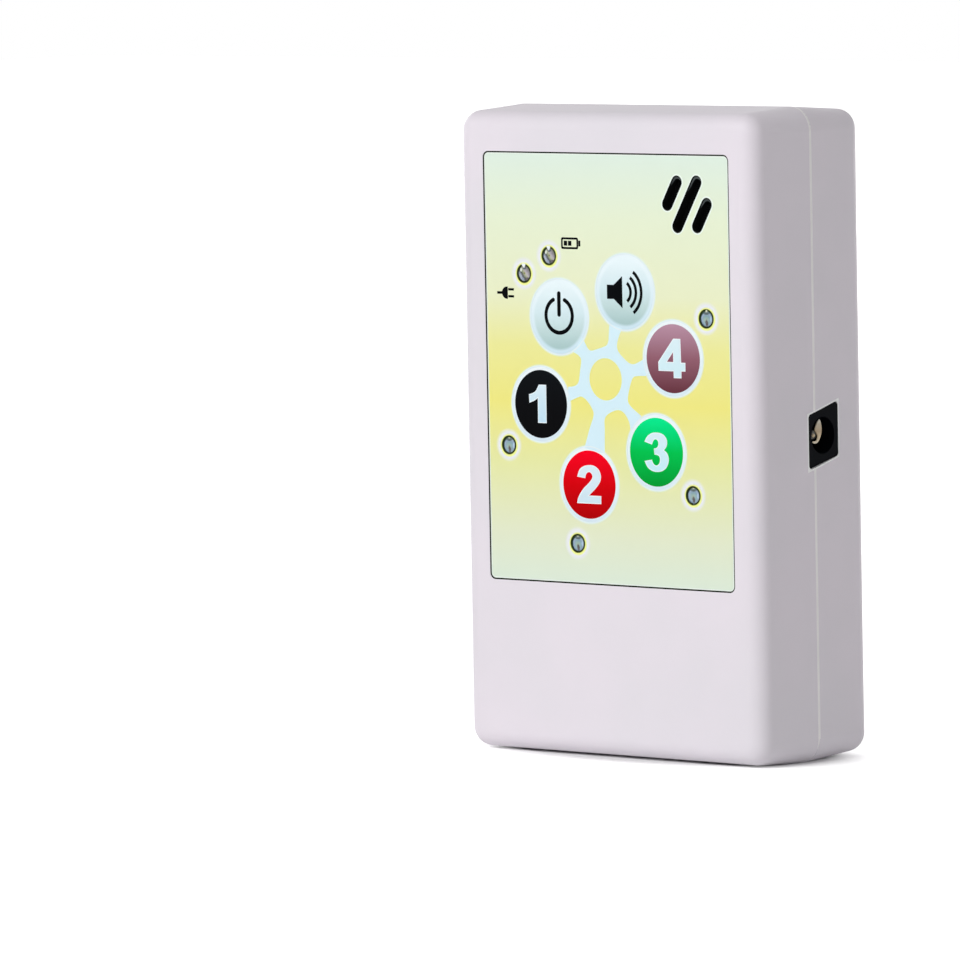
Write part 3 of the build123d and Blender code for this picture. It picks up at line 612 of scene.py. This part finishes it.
def turned(profile, place, steps=96):
    """A profile of (radius, y) points turned about the line along Y through place (x, z):
    x = place x + radius sin t, z = place z + radius cos t."""
    radius, depth = np.array(profile, float).T
    turn = np.linspace(0, 2 * np.pi, steps, endpoint=False)[:, None]
    x, z = place[0] + radius * np.sin(turn), place[1] + radius * np.cos(turn)
    points = np.stack((x, np.broadcast_to(depth, x.shape), z), -1)
    return points.reshape(-1, 3), quads(steps, len(depth), close_rows=True)


def join(*shapes):
    """Several (points, faces) shapes as one: each shape's faces count on from the last point."""
    points, faces, start = [], [], 0
    for shape_points, shape_faces in shapes:
        points.append(shape_points)
        faces += [[corner + start for corner in face] for face in shape_faces]
        start += len(shape_points)
    return np.vstack(points), faces


# ---- the printed front ----
# edges of the pale web between neighbouring keys, clockwise from the one between power and
# volume, about the hub's middle
WEB_EDGES = (
    ((-5.15, 7.05), (-4.45, 6.05), (-3.8, 5.1), (-3.05, 4.82), (-1.64, 5.16), (0.2, 5.75),
     (0.75, 6.5), (0.9, 7.75), (1.05, 9.55)),
    ((3.9, 8.85), (3.1, 7.35), (2.67, 5.95), (2.9, 4.9), (3.9, 3.9), (5.25, 2.95), (6.35, 2.78),
     (7.45, 3.15), (8.85, 3.85)),
    ((9.05, 0.85), (7.1, 0.77), (6.05, 0.39), (5.32, -1.33), (4.88, -3.35), (5.55, -4.5),
     (7.85, -6.05)),
    ((5.4, -8.75), (5.1, -7.15), (4.01, -5.65), (2.65, -5.18), (0.8, -5.74), (-0.33, -6.75),
     (-0.4, -8.75), (-0.5, -12.75)),
    ((-5.0, -11.95), (-3.8, -8.65), (-2.9, -6.55), (-2.95, -5.45), (-4.09, -3.95),
     (-5.35, -3.15), (-6.45, -3.33), (-8.55, -4.15)),
    ((-8.45, -1.55), (-7.45, -1.45), (-6.55, -1.15), (-6.0, -0.45), (-5.68, 1.35), (-5.4, 3.05),
     (-5.85, 3.85), (-7.05, 4.45)),
)
# the speaker symbol and the digits, about their key's middle
SPEAKER = ((-3.95, -1.2), (-3.95, 1.2), (-2.45, 1.2), (-0.55, 2.72), (-0.55, -2.72), (-2.45, -1.2))
WAVES = (1.92, 3.1, 4.28)
ONE = (((-0.72, -3.27), (-0.7, 1.0)),
       ((-0.7, 1.0), (-1.5, 0.52), (-2.6, 0.14)),
       ((-2.68, 1.6), (-1.85, 1.86), (-1.1, 2.3), (-0.41, 3.34)),
       ((1.25, 3.34), (1.22, -3.27)))
TWO = (((-2.7, 1.3), (-2.16, 2.5), (-1.26, 3.11), (-0.05, 3.36), (1.17, 3.26), (2.16, 2.65),
        (2.6, 1.75), (2.58, 1.05), (2.31, 0.39), (1.51, -0.52), (0.63, -1.27), (-0.1, -1.87)),
       ((2.62, -1.87), (2.6, -3.25), (-2.81, -3.28)),
       ((-2.81, -3.28), (-2.61, -2.49), (-2.09, -1.61), (-1.21, -0.61), (-0.33, 0.1), (0.42, 0.8),
        (0.72, 1.33), (0.57, 1.85), (0.12, 2.14), (-0.38, 2.05), (-0.74, 1.68), (-0.9, 1.08)))
THREE = (((-2.6, 1.73), (-2.02, 2.6), (-1.06, 3.2), (0.15, 3.37), (1.5, 3.1), (2.27, 2.35),
          (2.4, 1.61), (2.2, 0.98), (1.72, 0.42)),
         ((1.72, 0.42), (2.38, -0.11), (2.7, -0.9), (2.62, -1.75), (2.1, -2.62), (1.2, -3.18),
          (0.06, -3.36), (-1.09, -3.18), (-2.01, -2.61), (-2.66, -1.57)),
         ((-1.04, -1.3), (-0.76, -1.86), (-0.34, -2.2), (0.16, -2.22), (0.63, -1.82), (0.78, -1.2),
          (0.6, -0.7), (0.1, -0.45), (-0.41, -0.42)),
         ((-0.55, 0.62), (0.09, 0.78), (0.43, 1.2), (0.45, 1.74), (0.12, 2.14), (-0.27, 2.18),
          (-0.64, 1.91), (-0.95, 1.28)))
FOUR = (((0.08, 3.42), (1.66, 3.42), (1.76, -0.62)), ((2.69, -0.62), (2.69, -2.13), (1.8, -2.13)),
        ((1.78, -3.3), (0.08, -3.3), (0.05, -2.15)), ((-3.25, -2.15), (-3.3, -0.62)))
FOUR_HOLE = ((0.0, 1.13), (0.02, -0.56), (-1.36, -0.56))
# the cut across a screw's head and the painted glint in a lamp's gap, about their middles
CROSS = ((0.2, 1.1), (0.2, 0.2), (1.1, 0.2), (1.1, -0.2), (0.2, -0.2), (0.2, -1.1),
         (-0.2, -1.1), (-0.2, -0.2), (-1.1, -0.2), (-1.1, 0.2), (-0.2, 0.2), (-0.2, 1.1))
GLINT = ((-0.5, 1.5), (-0.3, 1.72), (0.2, 1.72), (0.38, 1.52), (0.06, 0.9))
# the socket's leaf spring about the barrel's axis, as (y, z)
TONGUE = ((0.1, 2.74), (0.43, 2.28), (0.63, 1.53), (0.67, 0.86), (0.55, 0.21), (0.25, -0.44),
          (-0.13, -0.94), (-0.58, -1.24), (-1.15, -1.37), (-1.63, -1.26), (-1.72, -1.05),
          (-1.5, -0.95), (-1.1, -1.0), (-0.73, -0.87), (-0.44, -0.5), (-0.44, 0.0), (-0.73, 0.43),
          (-1.05, 0.79), (-1.08, 1.12), (-0.8, 1.7), (-0.38, 2.27), (0.1, 2.74))
# (offset, step back) of the seam's bead, from the case's widest outline and the rear shell's edge
BEAD = ((0.0, -0.04), (-0.006, 0.25), (-0.024, 0.56), (-0.05, 0.6), (-0.4, 0.3), (-0.4, -0.04))


def digit_outline(stretches, place):
    """Outline of a digit: each stretch is a smooth curve through its points, or straight lines
    when it has three points or fewer, and stretches meet at corners."""
    outline = np.vstack([smooth(points) if len(points) > 3 else points for points in stretches])
    repeated = np.all(outline == np.roll(outline, 1, axis=0), axis=1)
    return outline[~repeated] + place


def print_web(finish):
    """Pale hub and six arms: the outline follows each edge between two keys, then passes under
    the next key's halo. The hub's round middle is open."""
    outline = np.vstack([smooth(edge, 6) for edge in WEB_EDGES]) + hub_place
    printed("hub_print", [[outline, circle(hub_place, HUB_HOLE)]], finish, "film_white")


def edge_ring(name, profile, finish, slot):
    """A line along the film's edge: for each (offset, y) point of its profile, the film's rounded
    outline is moved outwards by that offset and laid at that depth."""
    rows = []
    for offset, depth in profile:
        outline = rounded_rectangle(film_middle, film_size + 2 * offset, FILM_CORNER + offset)
        rows.append(at_depth(outline, depth))
    faces = quads(len(rows), len(rows[0]), close_rows=True, close_columns=True)
    make_piece(name, np.vstack(rows), faces, finish, slot)


def edge_film():
    """The joint round the film is filled with a dark ring of painted shade. The cut edge of the
    film has a raised bead whose paler colour is a painted highlight."""
    gap_shade = moulded("painted_joint_shade", "#1C2010", "#14180C", (0.8, 0.9), gloss=0.05)
    bead = moulded("bead_painted_highlight", "#EEF8EE", "#E8F4E9", (0.25, 0.35), gloss=0.4)
    floor = film_face + 0.36
    # painted shade filling the joint round the film
    edge_ring("film_joint", ((0.0, film_face - 0.01), (JOINT_WIDTH, film_face - 0.07),
                             (JOINT_WIDTH, floor), (0.0, floor)), gap_shade, "adhesive")
    profile = ((0.0, film_face + 0.06), (0.0, film_face), (-0.06, film_face - 0.03),
               (-0.16, film_face - 0.03), (-0.22, film_face + 0.01))
    # painted highlight: a pale bead along the film's cut edge
    edge_ring("film_bead", profile, bead, "printed_film")


def bead_seam():
    """A pale bead that fills the chamfer where the shells meet; its near-white colour is a painted
    highlight along the seam.
    Each (offset, step back) of its profile follows the case's widest outline moved outwards by
    that offset, from under the power socket round the foot and the top to above the socket."""
    # painted highlight: the bead's near-white colour
    cream = moulded("seam_highlight", "#FDFAFA", "#F8F6F6", (0.45, 0.6), gloss=0.3)
    low, high = box_mm("front_shell")
    seam = box_mm("rear_shell")[0][1]
    socket_low, socket_high = box_mm("dc_jack_body")
    width, top = (high - low)[0], high[2]
    lower, upper = socket_low[2] + 0.1, socket_high[2] - 1.15  # clear of the socket's raked nose
    rows = []
    for offset, step in BEAD:
        size = (width + 2 * offset, top + 2 * offset)
        outline = rounded_rectangle((0.0, top / 2), size, CASE_CORNER + offset)
        side = width / 2 + offset
        path = np.vstack(((side, lower), np.roll(outline, -9, axis=0), (side, upper)))
        rows.append(at_depth(np.maximum(path, (-np.inf, 0.0)), seam + step))
    count, length = len(rows), len(rows[0])
    first = np.arange(count) * length
    faces = [*quads(count, length, close_rows=True), first, first + length - 1]
    make_piece("seam_bead", np.vstack(rows), faces, cream, "white_abs")


def map_about(piece, places):
    """Gives a piece a map about its nearest place (x, z): the offset over the lamp's radius."""
    mesh = piece.data
    corners = np.zeros(len(mesh.vertices) * 3)
    mesh.vertices.foreach_get("co", corners)
    flat = corners.reshape(-1, 3)[:, [0, 2]] / MM
    places = np.array(places)
    gaps = np.linalg.norm(flat[:, None] - places[None], axis=2)
    offsets = (flat - places[gaps.argmin(1)]) / LAMP_RADIUS
    used = np.zeros(len(mesh.loops), int)
    mesh.loops.foreach_get("vertex_index", used)
    mesh.uv_layers.new(name="lamp").data.foreach_set("uv", offsets[used].ravel())


def build_lamps():
    """The clear lenses seen in the film's holes, over their lead frames. Each is a low bowl,
    y = 0.03 + 0.2 s^2 behind the film's face at s times its radius, with a groove 0.05 deep. It
    sits in a dark ring, painted shade of the gap round the lens, that is open on four lamps where
    the lens looks lighter, and the two upper lamps have a painted glint, a white plate, in that
    gap."""
    cup = ((0.0, "#8E9C86"), (0.2, "#86A8A0"), (0.38, "#7FA0AE"), (0.56, "#8CA2BE"),
           (0.68, "#3F5E5E"), (0.78, "#7F978C"), (0.95, "#3F4E2A"))
    across = ((0.02, "#3A3A14"), (0.14, "#B4BCD0"), (0.27, "#7C8AA2"), (0.33, "#101817"),
              (0.4, "#1B2420"), (0.46, "#728260"), (0.54, "#A9A98A"), (0.66, "#B0A9B0"),
              (0.8, "#827B81"), (0.95, "#4A5416"))
    # the pale spots are painted highlights; the dark spots and bands mix the frame's colours with
    # painted shade and reflection
    call = lamp_epoxy("call_lamp_epoxy", cup, (
        ("#352524", (0.03, -0.5), (0.22, 0.42)), ("#DDE2C4", (-0.05, 0.88), (0.22, 0.14)),
        ("#2F4648", (-0.02, 0.58), (0.45, 0.13)), ("#A4C0DC", (0.62, -0.02), (0.14, 0.36))), False)
    state = lamp_epoxy("state_lamp_epoxy", across, (
        ("#7A7A34", (0.04, 0.02), (0.15, 0.14)), ("#4A3A48", (0.5, -0.62), (0.34, 0.2)),
        ("#344A58", (0.0, 0.6), (0.3, 0.16)), ("#DDE6D8", (-0.5, 0.42), (0.18, 0.24))), True)
    # painted shade: the dark ring round each lens; painted highlight: the white glint
    rubber = moulded("lamp_ring_shade", "#1E2A0C", "#2A3614", (0.5, 0.6), gloss=0.1)
    glint = screen_ink("painted_glint", ("#E6F1F6", "#F6FCFF"))
    gaps = {"power": (-22, 14), "battery": (-20, 18), "4": (-11, 11), "3": (171, 188)}  # degrees
    share = np.linspace(1, 0, 13)
    bowl = np.column_stack((LENS_RADIUS * share, film_face + 0.03 + 0.2 * share ** 2))
    bowl[:, 1] += np.where((bowl[:, 0] < 0.95) & (bowl[:, 0] > 0.7), 0.05, 0.0)
    back = film_face + 0.35
    profile = np.vstack(((0, back), (LENS_RADIUS, back), bowl))
    lenses, shade_ring_shapes = {}, []
    for lamp, place in lamp_places.items():
        lenses[lamp] = turned(profile, place, 48)
        if lamp in gaps:
            start, end = gaps[lamp]
            shade_ring_shapes.append([np.vstack((arc(place, SHADE_RING_OUTSIDE, end, 360 + start, 48),
                                        arc(place, SHADE_RING_INSIDE, 360 + start, end, 48)))])
        else:
            shade_ring_shapes.append([circle(place, SHADE_RING_OUTSIDE, 48), circle(place, SHADE_RING_INSIDE, 48)])
    glints = [[np.array(GLINT) + lamp_places[lamp]] for lamp in ("power", "battery")]
    for name, lamps, finish in (("call_lamp_lenses", ("1", "2", "3", "4"), call),
                                ("state_lamp_lenses", ("power", "battery"), state)):
        shapes = join(*(lenses[lamp] for lamp in lamps))
        piece = make_piece(name, *shapes, finish, "clear_lens")
        map_about(piece, [lamp_places[lamp] for lamp in lamps])
    front = film_face - 0.01
    # dark rings of painted shade round the lenses, and white plates of painted glint
    make_piece("lamp_shade_rings", *plate(shade_ring_shapes, front, front + 0.24), rubber, "black_plastic")
    make_piece("lamp_glints", *plate(glints, front - 0.01, front + 0.05), glint, "clear_lens")


def build_socket_spring():
    """The socket's leaf spring at the mouth of its barrel: a hooked tongue with a dimple where it
    meets the plug. The dimple is 0.34 cos t across and 0.3 sin t high."""
    axis = sum(box_mm("dc_jack_pin"))[1:] / 2
    inner = box_mm("dc_jack_body")[1][0] - SPRING_DEPTH
    leaf = plate([[smooth(TONGUE, 3)[:-1] + axis]], inner, inner + SPRING_THICKNESS)
    turn = np.linspace(0, np.pi / 2, 7)
    dimple = np.column_stack((0.34 * np.cos(turn), inner + 0.3 * np.sin(turn)))
    ball = turned(np.vstack(((0.0, inner), dimple)), axis + (-1.42, 0.02), 24)
    points, faces = join(leaf, ball)
    points, bronze = points[:, [1, 0, 2]], brushed_bronze(axis[1])
    spring = make_piece("socket_spring", points, faces, bronze, "spring_brass")
    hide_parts("dc_jack_contact")


def print_keys(black):
    """Coloured discs with pale digits on the call keys; domed white discs with black symbols on
    the other two. At s times its radius a dome stands 0.055 (1 - s^2) proud of the film."""
    discs = {
        "1": (ONE, ("#000001", "#020306", "#070B10"), "#B9E0F5", "film_black"),
        "2": (TWO, ("#AE0004", "#D8000C", "#FF0022"), "#CCE6F4", "film_red"),
        "3": (THREE, ("#009A32", "#00C450", "#06EE92"), "#BDEFFA", "film_green"),
        "4": (FOUR, ("#66333E", "#93606F", "#BB92A6"), "#CCF0F8", "film_mauve"),
    }
    white = screen_ink("white_ink", ("#EAF8FD", "#F2FBFF"))
    for key, (digit, colours, fill, slot) in discs.items():
        place, body = key_places[key], f"call_key_{key}"
        colour = screen_ink(f"ink_{key}", colours, place, DISC_RADIUS, gloss=0.03)
        printed(f"disc_{key}", [[circle(place, DISC_RADIUS)]], colour, slot, body)
        outlines = [digit_outline(digit, place)]
        if key == "4":
            outlines.append(np.array(FOUR_HOLE) + place)
        printed(f"digit_{key}", [outlines], white, "film_white", body, layer=2)
        inner = [inset(outlines[0], DIGIT_EDGE),
                 *(inset(hole, -DIGIT_EDGE) for hole in outlines[1:])]
        tint = screen_ink(f"digit_ink_{key}", (fill, "#E4F3FA"), place, DISC_RADIUS)
        printed(f"digit_fill_{key}", [inner], tint, "film_white", body, layer=3)
    radius, back = key_radius - 0.04, film_face + 0.01
    share = np.linspace(1, 0, 25)
    dome = np.column_stack((radius * share, film_face - 0.055 * (1 - share ** 2)))
    for key in ("power", "volume"):
        shape = turned(np.vstack(((0, back), (radius, back), dome)), key_places[key])
        lacquer = domed_lacquer(f"dome_{key}", key_places[key])
        make_piece(f"dome_{key}", *shape, lacquer, "film_white", f"{key}_key")
    symbol = {"layer": 4, "thickness": 3 * INK}
    place = key_places["power"]
    ring = stroke(arc(place + (0.0, 0.2), 2.96, 25, 335, 72), 0.68)
    bar = stroke(((0.0, 0.36), (0.0, 4.0)), 0.76) + place
    printed("power_symbol", [[ring], [bar]], black, "film_black", "power_key", **symbol)
    place = key_places["volume"]
    waves = [[stroke(arc(place + (-0.62, 0.0), radius, 36, 144, 32), 0.55, rounded=False)]
             for radius in WAVES]
    shapes = [[np.array(SPEAKER) + place], *waves]
    printed("volume_symbol", shapes, black, "film_black", "volume_key", **symbol)


def print_marks(black):
    """Generic signs beside the two upper lamps: a mains plug on its side, with two pins and a
    cord, and a battery cell with two bars of charge."""
    place = lamp_places["power"] + (-4.25, -3.4)
    plug = (np.vstack((((0.5, -1.05), (0.5, 1.05)), arc((0.25, 0), 1.05, 360, 180, 16))),
            rectangle((0.6, 0.4), (1.9, 0.8)), rectangle((0.6, -0.8), (1.9, -0.4)),
            rectangle((-1.9, -0.22), (-0.7, 0.22)))
    printed("mains_mark", [[shape + place] for shape in plug], black, "film_black")
    place = lamp_places["battery"] + (4.75, 2.25)
    cell = [rounded_rectangle(place, (3.8, 2.0), 0.3, 4),
            rounded_rectangle(place, (3.1, 1.3), 0.12, 4)]
    bars = (rectangle((1.95, -0.5), (2.4, 0.5)), rectangle((-1.3, -0.42), (-0.55, 0.42)),
            rectangle((-0.35, -0.42), (0.4, 0.42)))
    printed("battery_mark", [cell, *([bar + place] for bar in bars)], black, "film_black")


def line_slots(black):
    """The three sound slots: a white halo and a black edge printed round each, and behind the
    film, round its top end and thinning down its left side, a grey crescent that is a painted
    highlight, light catching the ledge there."""
    rise = np.array((np.sin(SLOT_TILT), np.cos(SLOT_TILT)))
    side = np.array((np.cos(SLOT_TILT), -np.sin(SLOT_TILT)))
    start, end = np.degrees(SLOT_TILT) - 90, 62  # the crescent, clockwise from the top
    outside, inside = 0.94, 0.92  # its radii
    halos, edges, ledges = [], [], []
    for row, span in ((-1, 4.3), (0, 8.65), (1, 4.3)):
        middle = sound_place[[0, 2]] + row * SLOT_PITCH * side
        path = np.linspace(middle - rise * span / 2, middle + rise * span / 2, 3)
        halo, edge, slot = (stroke(path, SLOT_WIDTH + wider) for wider in (0.75, 0.2, -0.04))
        halos.append([halo, edge])
        edges.append([edge, slot])
        foot = path[-1] - outside * side - 0.28 * span * rise
        outer = arc(path[-1], outside, start, end)
        inner = arc(path[-1] + (0.1, -0.32), inside, end, start)
        ledges.append([np.vstack((foot, outer, inner))])
    pale = screen_ink("halo_ink", ("#EFF7E2", "#EFFAF0"))
    printed("slot_halos", halos, pale, "film_white")
    printed("slot_edges", edges, black, "film_black")
    # painted highlight: grey crescents where light catches the ledge
    grey = moulded("ledge_highlight", "#4E5354", "#3C4041", (0.8, 0.9), gloss=0.1)
    make_piece("slot_ledges", *plate(ledges, film_face + 0.1, film_face + 0.2), grey, "black_cloth")


def face_screws():
    """The heads of the case screws, deep in their wells: a bright cap with a cross cut through it,
    and a dark plate on the floor of the cut as painted shade. Each cross stands as its screw came
    to rest."""
    low, high = box_mm("case_screws")
    middle, reach = (high + low)[[0, 2]] / 2, (high - low)[[0, 2]] / 2 - SCREW_RADIUS
    caps, floors = [], []
    for turn, side in ((20, (1, 1)), (65, (1, -1)), (40, (-1, -1)), (5, (-1, 1))):
        place, angle = middle + reach * side, np.radians(turn)
        spin = np.array(((np.cos(angle), -np.sin(angle)), (np.sin(angle), np.cos(angle))))
        cross = np.array(CROSS) @ spin + place
        caps.append([circle(place, SCREW_RADIUS - 0.1, 48), cross])
        floors.append([cross])
    zinc = metal("turned_zinc", "#D4D6D8", "#C2C4C6", (0.3, 0.42), 0.8)
    # painted shade: the dark plate in the floor of each cross
    dark = moulded("cut_floor_shade", "#232426", "#2E2F31", (0.6, 0.7))
    make_piece("screw_caps", *plate(caps, high[1], high[1] + 0.35), zinc, "steel")
    make_piece("screw_sockets", *plate(floors, high[1], high[1] + 0.03), dark, "steel")


def print_lips():
    """The rolled edge of the film round each key: a pale ring that hides the joint."""
    rings = [[circle(place, LIP_RADIUS), circle(place, key_radius + 0.008)]
             for place in key_places.values()]
    pale = screen_ink("lip_ink", ("#E4F3F8", "#E8F6FA"))
    printed("key_lips", rings, pale, "film_white", layer=1.3, thickness=3 * INK)


def main():
    """Dresses the solids and adds the trim, the printed front, the light and the camera."""
    dress_solids()
    black = screen_ink("black_ink", ("#020304", "#04060A"), gloss=0.02)
    bead_seam()
    edge_film()
    build_lamps()
    build_socket_spring()
    face_screws()
    print_web(screen_ink("pale_ink", ("#D6F0FC", "#D9F3FD", "#DCF4FC")))
    print_lips()
    print_keys(black)
    print_marks(black)
    line_slots(black)
    bpy.context.scene.view_settings.view_transform = "Standard"
    light_room()
    lay_floor()
    aim_camera()


# ---- light, floor and camera ----
def softbox(name, place, size, power):
    """Square white area lamp at a place, turned towards the middle of the case."""
    aim = Vector((0.0, 0.0, 0.055))
    lamp = bpy.data.lights.new(name, "AREA")
    lamp.size = size
    lamp.energy = power
    holder = new_object(name, lamp)
    holder.location = place
    holder.rotation_euler = (aim - Vector(place)).to_track_quat("-Z", "Y").to_euler()


def seen_white(tree):
    """1 for rays that show the background: straight from the camera, in gloss or through glass."""
    rays = add(tree, "LightPath").outputs
    shown = (rays["Is Camera Ray"], rays["Is Glossy Ray"], rays["Is Transmission Ray"])
    return extreme(tree, "MAXIMUM", shown)


def light_room():
    """White surroundings, dimmer as light than as seen, and softboxes: a high key in front, a fill
    and a rim at the right, and two low ones for the left side and the back."""
    world = bpy.context.scene.world = bpy.data.worlds.new("studio")
    world.use_nodes = True
    tree = world.node_tree
    background = tree.nodes["Background"].inputs
    strength = add(tree, "MapRange", {0: seen_white(tree), 3: 0.22, 4: 1.0})
    tree.links.new(strength.outputs[0], background["Strength"])
    background["Color"].default_value = linear("#FFFFFF")
    softbox("key_light", (-0.2, -1.8, 1.2), 0.9, 25.8)
    softbox("fill_light", (1.25, -1.25, 0.6), 0.6, 3.0)
    softbox("rim_light", (1.2, 0.9, 0.7), 0.8, 1.4)
    softbox("left_light", (-1.7, 0.9, 0.3), 0.9, 12.0)
    softbox("back_light", (-0.1, 1.9, 0.15), 0.9, 6.0)


def lay_floor():
    """White paper that takes a soft shadow only close to the case: outside an oval round the foot
    it glows towards white, most of the way at once and the rest further out."""
    mesh = bpy.data.meshes.new("floor")
    far = 3.0
    corners = [(-far, -far, 0), (far, -far, 0), (far, far, 0), (-far, far, 0)]
    mesh.from_pydata(corners, [], [(0, 1, 2, 3)])
    floor = new_object("floor", mesh)
    paper, tree, shader = new_finish("white_paper", "#F8F8F8", 0.9)
    place = add(tree, "TexCoord").outputs["Object"]
    oval = (0.036, 0.017, 1.0)
    share = add(tree, "VectorMath", {0: place, 1: oval}, operation="DIVIDE")
    reach = add(tree, "VectorMath", {0: share.outputs[0]}, operation="LENGTH").outputs["Value"]
    first = add(tree, "MapRange", {0: reach, 1: 0.9, 2: 1.25, 3: 0.0, 4: 0.7}).outputs[0]
    rest = add(tree, "MapRange", {0: reach, 1: 1.25, 2: 12.0, 3: 0.0, 4: 0.3}).outputs[0]
    both = add(tree, "Math", {0: first, 1: rest}).outputs[0]
    seen = add(tree, "Math", {0: seen_white(tree), 1: both}, operation="MULTIPLY").outputs[0]
    glow = add(tree, "Emission", {"Color": "#FFFFFF", "Strength": seen})
    lit = add(tree, "AddShader", {0: shader.outputs[0], 1: glow.outputs[0]})
    tree.links.new(lit.outputs[0], tree.nodes["Material Output"].inputs["Surface"])
    mesh.materials.append(paper)


def aim_camera():
    """A long lens to the right of the front, a little above the case and turned slightly down."""
    lens = bpy.data.cameras.new("camera")
    lens.lens = 322.17
    lens.sensor_width = 36.0
    lens.clip_start = 0.1
    camera = new_object("camera", lens)
    right = Vector((0.753513, 0.657167, -0.018708))
    down = Vector((0.037744, -0.071652, -0.996715))
    forward = Vector((-0.656348, 0.750332, -0.078795))
    turn = Matrix((right, -down, -forward)).transposed()
    camera.matrix_world = Matrix.Translation((0.947055, -1.130701, 0.164089)) @ turn.to_4x4()
    bpy.context.scene.camera = camera


main()
